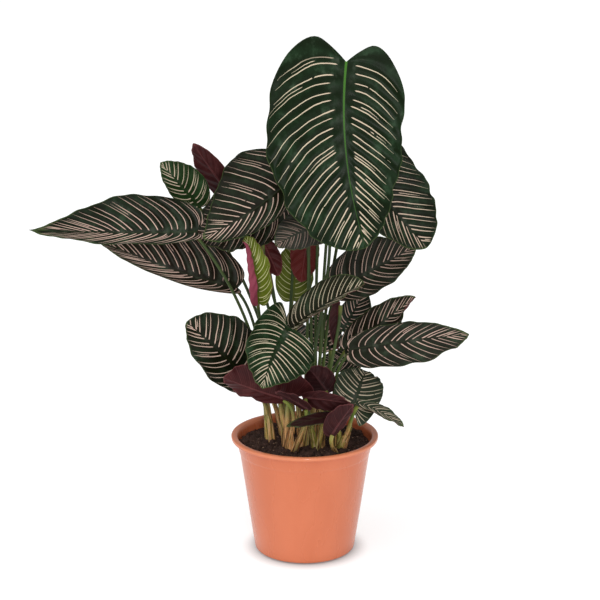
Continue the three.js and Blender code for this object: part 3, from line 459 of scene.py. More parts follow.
class Graph:
    """A material's nodes, ending in one Principled shader."""

    def __init__(self, name):
        self.material = bpy.data.materials.new(name)
        self.material.use_nodes = True
        self.tree = self.material.node_tree
        self.tree.nodes.clear()
        self.output = self.node("OutputMaterial")
        self.shader = self.node("BsdfPrincipled")
        self.tree.links.new(self.shader.outputs["BSDF"], self.output.inputs["Surface"])

    def node(self, kind, **settings):
        """A new shader node of one kind with these settings."""
        node = self.tree.nodes.new("ShaderNode" + kind)
        for name, value in settings.items():
            setattr(node, name, value)
        return node

    def put(self, value, socket):
        """Links a field or sets a plain value."""
        if isinstance(value, Field):
            self.tree.links.new(value.socket, socket)
        elif socket.type == "RGBA":
            socket.default_value = (*value, 1)[:4]
        else:
            socket.default_value = value

    def fed(self, node, *values):
        """A node's first output, once values are put into its inputs in their order."""
        for value, socket in zip(values, node.inputs):
            self.put(value, socket)
        return Field(self, node.outputs[0])

    def math(self, operation, *values):
        """Result of one operation on fields or plain values."""
        return self.fed(self.node("Math", operation=operation), *values)

    def vector(self, x, y, z):
        """Three numbers as one vector."""
        return self.fed(self.node("CombineXYZ"), x, y, z)

    def parts(self, socket):
        """The three numbers of a vector."""
        node = self.node("SeparateXYZ")
        self.tree.links.new(socket, node.inputs[0])
        return [Field(self, output) for output in node.outputs]

    def mix(self, share, first, second):
        """The first colour where share is 0, and the second one where it is 1."""
        node = self.node("Mix", data_type="RGBA")
        inputs, outputs = ({s.identifier: s for s in sockets} for sockets in (node.inputs, node.outputs))
        for name, value in (("Factor_Float", share), ("A_Color", first), ("B_Color", second)):
            self.put(value, inputs[name])
        return Field(self, outputs["Result_Color"])

    def place(self, scale=(1, 1, 1)):
        """Object coordinates, stretched by scale."""
        coordinates = self.node("TexCoord")
        mapping = self.node("Mapping")
        mapping.inputs["Scale"].default_value = scale
        self.tree.links.new(coordinates.outputs["Object"], mapping.inputs["Vector"])
        return Field(self, mapping.outputs["Vector"])

    def noise(self, place, scale, detail=3.0, roughness=0.55):
        """Smooth noise from 0 to 1, with scale lumps a metre."""
        node = self.node("TexNoise")
        for name, value in (("Vector", place), ("Scale", scale), ("Detail", detail),
                            ("Roughness", roughness)):
            self.put(value, node.inputs[name])
        return Field(self, node.outputs["Fac"])

    def dice(self, x, y, z):
        """Three random numbers from 0 to 1 that stay the same for the same whole x, y and z."""
        node = self.node("TexWhiteNoise")
        self.put(self.vector(x, y, z), node.inputs["Vector"])
        return self.parts(node.outputs["Color"])

    def numbers(self, *names):
        """The numbers that the mesh holds under these names."""
        nodes = [self.node("Attribute", attribute_name=name) for name in names]
        return [Field(self, node.outputs["Fac"]) for node in nodes]

    def three(self, name):
        """The three numbers that the mesh holds under one name."""
        return self.parts(self.node("Attribute", attribute_name=name).outputs["Vector"])

    def map(self, name):
        """The two coordinates of a UV map."""
        return self.parts(self.node("UVMap", uv_map=name).outputs[0])[:2]

    def bump(self, height, strength, distance):
        """Lets a field raise the surface by up to a distance in metres."""
        node = self.node("Bump")
        node.inputs["Strength"].default_value = strength
        node.inputs["Distance"].default_value = distance
        self.put(height, node.inputs["Height"])
        self.tree.links.new(node.outputs["Normal"], self.shader.inputs["Normal"])

    def finish(self, base, roughness, specular=0.5):
        """The material, with its base colour, its roughness and the strength of its gloss."""
        self.put(base, self.shader.inputs["Base Color"])
        self.put(roughness, self.shader.inputs["Roughness"])
        self.shader.inputs["Specular IOR Level"].default_value = specular
        return self.material


# ---- Meshes ----

def new_piece(name, points, quads, materials, slot, replaced, kinds=None, numbers=None, map_uv=None):
    """A smooth mesh in metres that rides on the body and replaces CAD nodes. kinds holds each face's
    material, numbers the values at each point, and map_uv the two coordinates of each point for each face
    corner. Points that lie together are merged, which closes seams and poles."""
    mesh = bpy.data.meshes.new(name)
    mesh.vertices.add(len(points))
    mesh.vertices.foreach_set("co", points.ravel())
    mesh.loops.add(quads.size)
    mesh.loops.foreach_set("vertex_index", quads.ravel())
    mesh.polygons.add(len(quads))
    mesh.polygons.foreach_set("loop_start", np.arange(0, quads.size, quads.shape[1]))
    if kinds is not None:
        mesh.polygons.foreach_set("material_index", kinds)
    for key, values in (numbers or {}).items():
        vector = values.ndim == 2
        layer = mesh.attributes.new(key, "FLOAT_VECTOR" if vector else "FLOAT", "POINT")
        layer.data.foreach_set("vector" if vector else "value", values.astype(np.float32).ravel())
    if map_uv is not None:
        layer = mesh.uv_layers.new(name="rows")
        layer.uv.foreach_set("vector", map_uv[quads.ravel()].astype(np.float32).ravel())
    mesh.update(calc_edges=True)
    for material in materials:
        mesh.materials.append(material)
    weld(mesh)
    mesh.shade_smooth()
    piece = placed(name, mesh)
    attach(piece, BODY)
    if replaced:
        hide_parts(*replaced)
    return piece


def placed(name, data):
    """A new object in the scene."""
    thing = bpy.data.objects.new(name, data)
    bpy.context.scene.collection.objects.link(thing)
    return thing


def weld(mesh, distance=1e-7):
    """Merges points that lie together, and drops faces that this leaves empty."""
    edit = bmesh.new()
    edit.from_mesh(mesh)
    bmesh.ops.remove_doubles(edit, verts=edit.verts, dist=distance)
    bmesh.ops.dissolve_degenerate(edit, edges=edit.edges, dist=distance)
    edit.to_mesh(mesh)
    edit.free()


def grid_quads(rows, columns, first=0, flip=False):
    """Quads between the points of a grid that is stored row by row from the index first."""
    corner = first + np.arange(rows - 1)[:, None] * columns + np.arange(columns - 1)[None, :]
    corners = [corner, corner + 1, corner + 1 + columns, corner + columns]
    return np.stack(corners[::-1] if flip else corners, axis=-1).reshape(-1, 4)


def rim_quads(line, size, flip=False):
    """Quads between a line of points and the line that lies size further on."""
    quads = np.stack([line[:-1], line[1:], line[1:] + size, line[:-1] + size], axis=-1)
    return quads[:, ::-1] if flip else quads


def unit(vectors):
    """Vectors of length 1."""
    return vectors / np.maximum(np.linalg.norm(vectors, axis=-1, keepdims=True), 1e-12)


def dot(a, b):
    """Scalar product of vectors."""
    return np.sum(a * b, axis=-1, keepdims=True)


def smooth_step(value, start, end):
    """0 up to start and 1 past end, with a smooth step between them."""
    share = np.clip((value - start) / (end - start), 0, 1)
    return share * share * (3 - 2 * share)


def quadratic(share, start, middle, end):
    """Point at a share of the quadratic curve with these three control points."""
    return (1 - share) ** 2 * start + 2 * share * (1 - share) * middle + share**2 * end


# ---- Pot ----

def rounded(corners, steps=6):
    """Side view of a turned piece. Each (radius, height, round) corner becomes an arc drawn as a quadratic
    curve that starts and ends at the distance round from the corner, and has steps stretches."""
    points = np.array([corner[:2] for corner in corners])
    rounds = np.array([corner[2] for corner in corners])
    before = unit(np.roll(points, 1, axis=0) - points) * rounds[:, None] + points
    after = unit(np.roll(points, -1, axis=0) - points) * rounds[:, None] + points
    share = np.linspace(0, 1, steps + 1)[None, :, None]
    arcs = quadratic(share, before[:, None], points[:, None], after[:, None])
    sharp = rounds == 0
    arcs[sharp] = points[sharp][:, None]
    arcs[0] = points[0]
    arcs[-1] = points[-1]
    return arcs.reshape(-1, 2)


def outer_radius(pot, height):
    """Radius of the pot's outer wall at a height: it grows evenly from the floor to the rim."""
    share = (height - pot.floor) / (pot.height - pot.floor)
    return pot.base_radius + (pot.top_radius - pot.base_radius) * share


def inner_radius(pot, height):
    """Radius of the pot's inner wall at a height."""
    return outer_radius(pot, height) - pot.wall


def pot_profile(pot):
    """Side view of the wall and floor, from the middle of the underside up the outside and down the inside.
    A corner's place and rounding are given as shares of the sizes that it joins."""
    step = pot.height - pot.step_below_rim
    step_top = step + pot.step_height
    lip_bottom = pot.height - pot.lip_depth
    soft = pot.lip_round
    return rounded([
        (0, 0, 0),
        (pot.base_radius - 2.2 * pot.base_corner, 0, pot.foot / 6),
        (pot.base_radius - 2 * pot.base_corner, pot.foot, pot.foot / 4.5),
        (outer_radius(pot, pot.foot) - 0.2 * pot.base_corner, pot.foot, pot.base_corner / 2),
        (outer_radius(pot, pot.base_corner), pot.base_corner, pot.base_corner / 4),
        (outer_radius(pot, step) - pot.step_depth, step, pot.step_height / 3),
        (outer_radius(pot, step_top), step_top, pot.step_height / 3),
        (pot.top_radius, lip_bottom - soft / 3, soft * 0.7),
        (pot.rim_radius - soft / 3, lip_bottom - soft / 4, soft),
        (pot.rim_radius, pot.height - soft / 2, soft * 1.1),
        (pot.rim_radius - 2.2 * soft, pot.height + soft / 6, soft),
        (pot.top_radius - pot.wall / 3, pot.height - soft / 2, soft),
        (inner_radius(pot, lip_bottom), lip_bottom, soft),
        (inner_radius(pot, 3 * pot.floor), 3 * pot.floor, pot.floor),
        (pot.base_radius - 2 * pot.base_corner, pot.floor, pot.floor),
        (0, pot.floor, 0),
    ])


def turned(profile, turns):
    """Surface of revolution: a profile point (r, h) at the turn a lies at (r cos a, r sin a, h)."""
    angle = np.linspace(0, TAU, turns + 1)
    radius = profile[:, :1]
    height = np.broadcast_to(profile[:, 1:], (len(profile), turns + 1))
    # the last column repeats the first one exactly, so that the seam closes
    cosine = np.cos(angle)
    sine = np.sin(angle)
    cosine[-1] = cosine[0]
    sine[-1] = sine[0]
    points = np.stack([radius * cosine, radius * sine, height], axis=-1)
    return points.reshape(-1, 3), grid_quads(len(profile), turns + 1)


def cut_drains(piece, pot, sides=40):
    """Cuts the drain holes out of the floor with round plugs that reach through it."""
    edit = bmesh.new()
    for k in range(pot.drains):
        turn = TAU * k / pot.drains
        made = bmesh.ops.create_cone(edit, cap_ends=True, segments=sides, radius1=pot.drain_radius,
                                     radius2=pot.drain_radius, depth=6 * pot.floor)
        centre = Vector((pot.drain_circle * math.cos(turn), pot.drain_circle * math.sin(turn), pot.floor / 2))
        bmesh.ops.translate(edit, verts=made["verts"], vec=centre)
    plugs = bpy.data.meshes.new("drain_plugs")
    edit.to_mesh(plugs)
    edit.free()
    cutter = placed("drain_plugs", plugs)
    cut = piece.modifiers.new("drains", "BOOLEAN")
    cut.operation = "DIFFERENCE"
    cut.solver = "EXACT"
    cut.object = cutter
    graph = bpy.context.evaluated_depsgraph_get()
    finished = bpy.data.meshes.new_from_object(piece.evaluated_get(graph))
    piece.modifiers.clear()
    piece.data = finished
    bpy.data.objects.remove(cutter)


def plastic_material(pot):
    """Satin moulded plastic with a slightly duller, uneven skin, faint marks of the mould, and a glossier lip
    whose lighter colour is a painted highlight.
    """
    graph = Graph("pot_plastic")
    patches = graph.noise(graph.place((1, 1, 0.35)), 28, 4)
    grain = graph.noise(graph.place(), 900, 2)
    base = graph.mix(patches.rise(0.3, 0.75) * 0.7, pot.plastic, pot.plastic_shade)
    _, _, z = graph.parts(graph.place().socket)
    # Painted highlight: the lip is lighter, and also glossier.
    lip = z.rise(pot.height - pot.lip_depth, pot.height - 0.5 * pot.lip_depth)
    base = graph.mix(lip * 0.5, base, pot.plastic_lip)
    graph.bump(patches * 0.6 + grain * 0.4, 0.08, 0.0004)
    return graph.finish(base, patches * 0.1 - lip * 0.1 + (pot.roughness - 0.08), 0.45)


class CALATHEA_OT_pot(bpy.types.Operator):
    """Turns the pot and drills its drain holes"""
    bl_idname = "calathea.pot"
    bl_label = "Pot"
    turns = 160
    # Edges that are sharper than this angle stay sharp.
    sharp = math.radians(50)

    def execute(self, context):
        pot = context.scene.calathea_pot
        points, quads = turned(pot_profile(pot), self.turns)
        piece = new_piece("pot_shell", points, quads, [plastic_material(pot)], "pot", ["pot"])
        cut_drains(piece, pot)
        piece.data.set_sharp_from_angle(angle=self.sharp)
        return {"FINISHED"}


# ---- Soil ----

def soil_height(x, y, seed=3, waves=70):
    """Height of the soil's surface in metres over a place: the CAD's low waves, plus finer and finer waves in
    random directions whose height falls with their length, plus a low bank round each crown."""
    height = sum(MM * tall * np.sin((along * x + across * y) / MM + start)
                 for tall, along, across, start in LUMPS)
    draw = np.random.default_rng(seed)
    wavelength = np.exp(draw.uniform(*np.log(SOIL_WAVES), waves))
    heading = draw.uniform(0, TAU, waves)
    start = draw.uniform(0, TAU, waves)
    turn = TAU / wavelength
    angle = (x[..., None] * np.cos(heading) + y[..., None] * np.sin(heading)) * turn + start
    height = height + np.sum(wavelength * SOIL_SHARE * np.sin(angle + SOIL_SHARP * np.sin(angle)), axis=-1)
    for cx, cy in CROWNS.values():
        height = height + BANK_HEIGHT * np.exp(-((x - cx * MM) ** 2 + (y - cy * MM) ** 2) / BANK_RADIUS**2)
    return height


def soil_material(soil):
    """Damp potting soil: uneven dark and light tones that follow nearly the same noise as its bump, which
    partly paints shade into the hollows and light onto the lumps, with bits of bark and fibre.
    """
    graph = Graph("soil_peat")
    place = graph.place()
    patches = graph.noise(place, 60, 5, 0.65)
    grains = graph.noise(place, 420, 5, 0.7)
    [tint] = graph.numbers("tint")
    # Partly painted shade and light: darker where the bump sinks, paler where it rises.
    base = graph.mix((patches * 0.5 + grains * 0.6).rise(0.35, 0.75), soil.dark, soil.light)
    base = graph.mix(tint.rise(0.7, 0.74) * 0.8 * grains.rise(0.2, 0.6), base, soil.fleck)
    base = graph.mix(grains.rise(0.62, 0.7) * 0.6, base, soil.fleck)
    graph.bump(grains * 0.7 + patches * 0.3, 0.9, 0.0016)
    return graph.finish(base, grains * 0.2 + 0.75, 0.25)


def crumb_shapes(crumbs, size, seed, spread=0.55, stretches=(0.6, 1.3), dents=(0.7, 1.25)):
    """Loose crumbs as small lumpy balls: each corner of a ball of 12 points moves in or out by a random
    share. Their sizes spread as a log-normal draw."""
    draw = np.random.default_rng(seed)
    edit = bmesh.new()
    bmesh.ops.create_icosphere(edit, subdivisions=1, radius=1)
    ball = np.array([vertex.co for vertex in edit.verts])
    faces = np.array([[vertex.index for vertex in face.verts] for face in edit.faces])
    edit.free()
    scale = size * np.exp(draw.normal(0, spread, (crumbs, 1, 1)))
    stretch = draw.uniform(*stretches, (crumbs, 1, 3))
    lumps = draw.uniform(*dents, (crumbs, len(ball), 1))
    return ball[None] * scale * stretch * lumps, faces


class CALATHEA_OT_soil(bpy.types.Operator):
    """Fills the pot with soil, and scatters loose crumbs on it"""
    bl_idname = "calathea.soil"
    bl_label = "Soil"
    rings = 110
    turns = 320
    # Crowding of the rings towards the wall, and the share of the radius over which the waves fade there.
    crowding = 0.8
    fading = 0.03
    # In metres: start of the side above the floor, its end under the surface, and the surface's drop there.
    skirt = 0.006
    shoulder = 0.004
    rim_drop = 0.0015
    # In crumb sizes: how far crumbs stay from the wall, and how deep or high they lie. Starts of the draws.
    margin = 3.2
    sinks = (-0.4, 0.5)
    place_seed = 11
    shape_seed = 5

    def execute(self, context):
        soil = context.scene.calathea_soil
        pot = context.scene.calathea_pot
        material = soil_material(soil)
        self.fill(soil, pot, material)
        self.scatter(soil, pot, material)
        return {"FINISHED"}

    def fill(self, soil, pot, material):
        """The filling: a turned body whose top follows soil_height, and is flat where it meets the wall."""
        low = pot.floor + soil.clearance
        bottom = np.array([(0, low), (pot.base_radius - 2 * pot.base_corner, low)])
        rim = inner_radius(pot, soil.top) - 2 * soil.clearance
        side = np.array([(inner_radius(pot, low + self.skirt) - soil.clearance, low + self.skirt),
                         (rim, soil.top - self.shoulder)])
        below = np.zeros(len(bottom) + len(side))
        ring = np.linspace(1, 0, self.rings)
        top = np.stack([rim * ring**self.crowding, np.full(self.rings, soil.top)], axis=-1)
        points, quads = turned(np.vstack([bottom, side, top]), self.turns)
        inwards = smooth_step(1 - ring**self.crowding, 0, self.fading)
        fade, edge = (np.repeat(np.r_[below, share], self.turns + 1) for share in (inwards, 1 - inwards))
        points[:, 2] += soil_height(points[:, 0], points[:, 1]) * fade
        points[:, 2] -= self.rim_drop * edge
        tint = np.zeros(len(points))
        new_piece("soil_filling", points, quads, [material], "soil", ["soil"], numbers={"tint": tint})

    def scatter(self, soil, pot, material):
        """Crumbs at random places of the surface, sunk into it by a part of their size. Only the smaller half
        has a tint, which makes some of them pale flecks."""
        draw = np.random.default_rng(self.place_seed)
        shapes, faces = crumb_shapes(soil.crumbs, soil.crumb_size, self.shape_seed)
        rim = inner_radius(pot, soil.top) - self.margin * soil.crumb_size
        radius = rim * np.sqrt(draw.uniform(0, 1, soil.crumbs))
        turn = draw.uniform(0, TAU, soil.crumbs)
        x = radius * np.cos(turn)
        y = radius * np.sin(turn)
        z = soil.top + soil_height(x, y) + soil.crumb_size * draw.uniform(*self.sinks, soil.crumbs)
        points = (shapes + np.stack([x, y, z], axis=-1)[:, None]).reshape(-1, 3)
        corners = shapes.shape[1]
        triangles = (faces[None] + corners * np.arange(soil.crumbs)[:, None, None]).reshape(-1, 3)
        spread = np.ptp(shapes, axis=1).max(axis=1)
        small = spread < np.median(spread)
        tint = np.repeat(draw.uniform(0, 1, soil.crumbs) * small, corners)
        new_piece("soil_crumbs", points, triangles, [material], "soil", [], numbers={"tint": tint})


# ---- Leaves ----

def side_values(leaf, key, right):
    """A leaf's left or right size at each place."""
    return np.where(right, float(leaf[key][1]), float(leaf[key][0]))


def flat_blade(leaf, right, row, out):
    """Flat blade: row runs from the base (0) to the tip (1), and out from the midrib (0) to the margin (1).
    Each row is a side vein. It leaves the midrib at rib, meets the margin where a half ellipse on each side
    of the widest place puts it, with a cut at the base, and between them is a quadratic curve that bends to
    the tip. Gives length and width as fractions, and the width at the margin."""
    lobe = side_values(leaf, "lobe", right)
    widest = side_values(leaf, "widest", right)
    rib = np.maximum(0, (row - FAN) / (1 - FAN))
    first = np.arccos((widest - FIRST_EDGE) / (widest + lobe))
    edge = 1 - (1 - FIRST_EDGE) * (1 - rib) ** SWEEP
    cosine = (widest - edge) / np.where(edge < widest, widest + lobe, 1 - widest)
    angle = np.where(row < FAN, first * row / FAN, np.arccos(np.clip(cosine, -1, 1)))
    behind = angle < math.pi / 2
    cut = lobe * np.exp(-((angle / leaf["notch"]) ** 2))
    edge_length = widest - np.where(behind, widest + lobe, 1 - widest) * np.cos(angle) + cut * behind
    sine = np.abs(np.sin(angle))
    edge_width = np.where(behind, sine, sine ** side_values(leaf, "point", right))
    bow = VEIN_BOW * edge_width * np.minimum(1, row / FAN) * (1 - row)
    bend = (rib + edge_length) / 2 - bow
    return quadratic(out, rib, bend, edge_length), out * edge_width, edge_width


def midrib(leaf, steps=200):
    """Midrib as a quadratic curve from base to tip whose middle is lifted by arch and bent aside by sway: its
    three control points, the blade's facing direction, and its length."""
    base, tip, face = (np.array(leaf[key], float) for key in ("base", "tip", "face"))
    along = unit(tip - base)
    face = unit(face - dot(face, along) * along)
    middle = (base + tip) / 2 + face * leaf["arch"] + np.cross(along, face) * leaf["sway"]
    share = np.linspace(0, 1, steps + 1)[:, None]
    curve = quadratic(share, base, middle, tip)
    return (base, middle, tip), face, np.linalg.norm(np.diff(curve, axis=0), axis=1).sum()


def midrib_frame(leaf, fraction):
    """Point on the midrib and its directions along, face and aside; it runs on straight behind the base."""
    (base, middle, tip), face, total = midrib(leaf)
    share = np.clip(fraction, 0, 1)[..., None]
    along = unit((1 - share) * (middle - base) + share * (tip - middle))
    point = quadratic(share, base, middle, tip)
    point = point + along * (np.minimum(fraction, 0) * total)[..., None]
    face = unit(face - dot(face, along) * along)
    return point, along, face, np.cross(along, face)


def blade_sheet(leaf, right, row, out):
    """Middle sheet of a blade in mm. Each half leaves the midrib at its fold angle and bends evenly to its
    curl, with a further turn at a margin that wraps over; adding up the steps outwards gives the place. The
    margin carries a low wave, and the outline an uneven one, which fade at both ends."""
    length, width, edge_width = flat_blade(leaf, right, row, out)
    point, _, face, aside = midrib_frame(leaf, length)
    half = side_values(leaf, "half", right)
    fade = np.minimum(1, WAVE_FADE * row) * np.minimum(1, WAVE_FADE * (1 - row))
    turn = TAU * (EDGE_COUNT * row + leaf["half"][0] * EDGE_SHIFT + WAVE_SHIFT * right)
    drift, drift_rate = EDGE_DRIFT
    fine, fine_rate = EDGE_FINE
    edge = np.sin(turn + drift * np.sin(drift_rate * turn)) + fine * np.sin(fine_rate * turn)
    distance = width * half * (1 + EDGE_WAVE * leaf["wave"] * edge * fade * out**2)
    roll = side_values(leaf, "roll", right) * np.clip(length, 0, 1) ** ROLL_POWER
    start = np.radians(side_values(leaf, "fold", right) + roll)
    bend = np.radians(side_values(leaf, "curl", right)) / half
    wrap = np.radians(side_values(leaf, "wrap", right)) * smooth_step(row, *leaf["wrap_rows"])
    wrap = wrap * smooth_step(out, *WRAP_COLUMNS)
    slope = start + bend * distance + wrap
    middle = (slope[:, 1:] + slope[:, :-1]) / 2
    stretch = np.diff(distance, axis=1)
    swing = np.sin(TAU * (WAVE_COUNT * row + WAVE_SHIFT * right))
    ripple = leaf["wave"] * out**WAVE_POWER * swing * fade
    sideways = np.pad(np.cumsum(np.cos(middle) * stretch, axis=1), ((0, 0), (1, 0))) - ripple * np.sin(slope)
    upwards = np.pad(np.cumsum(np.sin(middle) * stretch, axis=1), ((0, 0), (1, 0))) + ripple * np.cos(slope)
    sign = np.where(right, 1.0, -1.0)
    near = distance < 1e-9
    sideways = np.where(near, 0, sign * sideways)
    upwards = np.where(near, 0, upwards)
    lean = np.where(near, 0, sign * slope)
    point = point + aside * sideways[..., None] + face * upwards[..., None]
    normal = face * np.cos(lean)[..., None] - aside * np.sin(lean)[..., None]
    inset = (1 - out) * edge_width * half
    return point, normal, distance, inset, np.clip(length, 0, 1)


def blade_half(leaf, blade, right, rows, columns, pairs, seed):
    """Upper and lower surface of one half of a blade, with the values that its materials read. The blade is
    thinner at the margin, rises a little between its side veins, crinkles at the margin, and carries the
    midrib under it as a bell curve."""
    row = np.broadcast_to(np.linspace(0, 1, rows)[:, None], (rows, columns))
    out = np.broadcast_to((np.linspace(0, 1, columns) ** COLUMN_POWER)[None, :], (rows, columns))
    point, normal, distance, inset, length = blade_sheet(leaf, np.full((rows, columns), right), row, out)
    steps = unit(np.gradient(point, axis=1))
    climb = np.gradient(point, axis=0) * (rows - 1)
    half = leaf["half"][right]
    fan = LOBE_PAIRS * leaf["lobe"][right] * (not leaf["bold"])
    pitch = np.linalg.norm(climb - dot(climb, steps) * steps, axis=-1) / (pairs + (row < FAN) * fan / FAN)
    place = row * pairs + np.minimum(row / FAN, 1) * fan + WAVE_SHIFT * right
    window = smooth_step(out, *QUILT_COLUMNS) * smooth_step(1 - out, 0, QUILT_FADE)
    window = window * smooth_step(row / FAN, *QUILT_ROWS)
    ridges = np.cos(TAU * (place - 0.5)) * np.minimum(QUILT_MOST, pitch / QUILT_PITCH)
    waves = sum(tall * np.sin(TAU * (number * row + shift * seed)) for number, shift, tall in CRINKLES)
    waves = waves * out**CRINKLE_POWER * np.minimum(1, CRINKLE_FADE * row * (1 - row))
    crinkle = blade.crinkle * waves * min(CRINKLE_MOST, half / CRINKLE_HALF)
    quilt = (blade.quilt * window * ridges + crinkle) / MM
    sheet = blade.thickness + (blade.edge - blade.thickness) * out**3
    slim = 1 - RIB_THINS * length
    reach = distance * MM / (blade.rib_width * slim)
    rib = blade.rib_height * slim * np.exp(-(reach**2))
    crest = CREST_HEIGHT * slim * np.exp(-((reach / CREST_WIDTH) ** 2))
    upper = point + normal * (quilt + (sheet / 2 + crest) / MM)[..., None]
    lower = point + normal * (quilt - (sheet / 2 + rib) / MM)[..., None]
    numbers = {"row": row, "pitch": pitch, "across": distance, "inset": inset, "length": length}
    return upper * MM, lower * MM, np.stack([place, out if right else -out], axis=-1), numbers


def blade_mesh(leaf, blade, seed):
    """Blade of one leaf: both halves above and below, joined round the margin by a thin rim."""
    rows, columns = FINE_GRID if leaf["large"] else COARSE_GRID
    total = midrib(leaf)[2]
    pairs = max(FEWEST_PAIRS, round(total / leaf["spacing"]))
    points, quads, kinds, coordinates, numbers = [], [], [], [], {}
    first = 0
    for right in (False, True):
        upper, lower, place, values = blade_half(leaf, blade, right, rows, columns, pairs, seed)
        size = rows * columns
        points += [upper.reshape(-1, 3), lower.reshape(-1, 3)]
        coordinates += [place.reshape(-1, 2)] * 2
        for key, value in values.items():
            numbers.setdefault(key, []).extend([value.ravel()] * 2)
        margin = first + np.arange(rows) * columns + columns - 1
        quads += [grid_quads(rows, columns, first, not right), grid_quads(rows, columns, first + size, right),
                  rim_quads(margin, size, right)]
        kinds += [np.full(len(q), kind) for q, kind in zip(quads[-3:], (0, 1, 1))]
        first += 2 * size
    points = np.vstack(points)
    values = {key: np.concatenate(value) for key, value in numbers.items()}
    for key, value in (("look", (pairs, seed, leaf["line"])),
                       ("tint", (leaf["grey"], leaf["cream"], leaf["blush"])),
                       ("style", (leaf["dusk"], float(leaf["bold"]), leaf["fresh"]))):
        values[key] = np.broadcast_to(value, (len(points), 3))
    return points, np.vstack(quads), np.concatenate(kinds), np.vstack(coordinates), values


def stripe(local, centre, pitch, away, start, end, width):
    """One painted stripe: full where the distance from its line is under its half width, which grows from
    nothing at start and shrinks to nothing at end."""
    distance = abs(local - centre) * pitch
    thinned = 1 - away.rise(end - STRIPE_SHRINKS, end) * STRIPE_THINS
    taper = away.rise(start, start + STRIPE_GROWS) * thinned * (1 - away.over(end))
    half = (width * taper).least(pitch * STRIPE_MOST) * pitch.rise(*STRIPE_PITCH)
    return ((half - distance) * STRIPE_SHARP + STRIPE_EDGE).clipped() * half.over(STRIPE_LEAST)


def stripes(graph):
    """Share of stripe colour at a place of the upper side: a pair of stripes along each side vein, each with
    its own start and end, some with a short third one, and with small breaks. Also the place between two side
    veins and the distance from the midrib, both from 0 to 1."""
    place, out = graph.map("rows")
    _, seed, line = graph.three("look")
    _, bold, _ = graph.three("style")
    pitch, row = graph.numbers("pitch", "row")
    away = abs(out)
    side = out.over(0)
    wander = graph.noise(graph.place(), 24, 1)
    wobble = graph.noise(graph.place(), 130, 1)
    place = place + (wander - 0.5) * 0.3 + (wobble - 0.5) * 0.04
    cell = place.floor()
    local = place.share()
    one, two, three = graph.dice(cell, side, seed)
    four, five, six = graph.dice(cell, side + 5, seed)
    width = line * (1.45 - away * 0.8) * (row.rise(0.8, 1) * 0.3 + 1)
    start = bold * STRIPE_LATE + STRIPE_START
    finish = 1 - bold * (1 - side) * BARE_MARGIN
    low, high, short = STRIPE_PLACES
    begin = four * 0.4 + 0.15
    painted = stripe(local, two * 0.05 + short, pitch, away, begin, begin + 0.25 + five * 0.3, width * 0.8)
    painted = painted * three.over(0.7)
    for middle, shift, late, early, wide in ((low, one, two, three, four * 0.4 + 0.8),
                                             (high, five, six, one, two * 0.4 + 0.75)):
        first = start + late * STRIPE_LATE
        last = finish - early * STRIPE_EARLY
        full = stripe(local, shift * STRIPE_VARIES + middle, pitch, away, first, last, width * wide)
        painted = painted.most(full)
    torn = graph.noise(graph.vector(place * 2.6, away * 8, seed), 1, 1).rise(0.72, 0.75)
    bare = row.rise(FAN * 0.9, FAN * 1.05).most(1 - bold) * (1 - row.rise(0.94, 0.97)) * row.rise(0.002, 0.01)
    return painted * (1 - torn) * bare, local, away


def upper_material(name, blade, deep, sheen, pink, cream):
    """Upper side of a blade: dark green with a painted sheen in paler bands between the pairs of stripes,
    painted light and shade across each quilted side vein, painted highlights, a painted grey sheen near the
    midrib, painted shade on leaves deep in the plant, on some a green midrib, and a thin paler margin."""
    graph = Graph(name)
    painted, local, away = stripes(graph)
    grey, creamy, _ = graph.three("tint")
    dusk, bold, fresh = graph.three("style")
    length, across, inset = graph.numbers("length", "across", "inset")
    cloud = graph.noise(graph.place(), 38, 4, 0.6)
    spots = graph.noise(graph.place((1, 1, 0.6)), 110, 3, 0.6)
    # Painted sheen: paler bands between the pairs of stripes stand for the leaf's gloss.
    between = (local * TAU).cosine() * 0.5 + 0.5
    band = cloud.rise(0.45, 0.7) * (between * 0.7 + 0.3) * spots.rise(0.3, 0.7)
    # Painted light and shade: a lighter and a darker side of each quilted side vein.
    ridge = ((local + 0.2) * TAU).cosine() * 0.5 + 0.5
    base = graph.mix(ridge * cloud.rise(0.3, 0.6) * 0.22, deep, sheen)
    base = graph.mix(band * 0.75, base, sheen)
    base = graph.mix(fresh * (cloud * 0.5 + 0.15), base, blade.rib)
    # Painted highlights: patches where the gloss catches the light, fewer towards the tip.
    gloss = cloud.rise(0.52, 0.66) * (1 - ridge * 0.8) * spots.rise(0.42, 0.58) * (1 - length * 0.6)
    base = graph.mix(gloss * 0.35, base, blade.gloss)
    # Painted shade: a leaf deep in the plant is darkened towards the purple of the under side by its share of
    # painted shade.
    base = graph.mix(dusk * 0.75, base, blade.under)
    # Painted sheen: grey patches near the midrib, mixed with the leaf's own grey.
    dust = (1 - away.rise(0.03, 0.25)) * spots.rise(0.45, 0.65) * cloud.rise(0.4, 0.6) * 0.6
    base = graph.mix((grey * (cloud * 0.9 + 0.4) + dust).least(1), base, blade.grey)
    line = graph.mix((creamy * (away * 0.5 + 0.75) + (spots - 0.5) * 0.6).clipped(), pink, cream)
    base = graph.mix(painted * (0.95 - grey * 0.3), base, line)
    middle = (1.7 - length * 1.3 - across) * 2.5
    base = graph.mix(middle.clipped() * bold * (0.85 - length * 0.7), base, blade.rib)
    dim = (1.1 - length * 0.7 - across) * 2.5
    base = graph.mix(dim.clipped() * (1 - bold) * 0.08, base, blade.margin)
    base = graph.mix((1 - inset.rise(0.2, 0.9)) * 0.5, base, blade.margin)
    graph.bump(spots * 0.5 + cloud * 0.5, 0.15, 0.0008)
    return graph.finish(base, cloud * 0.3 + (blade.roughness - 0.17), 0.09)


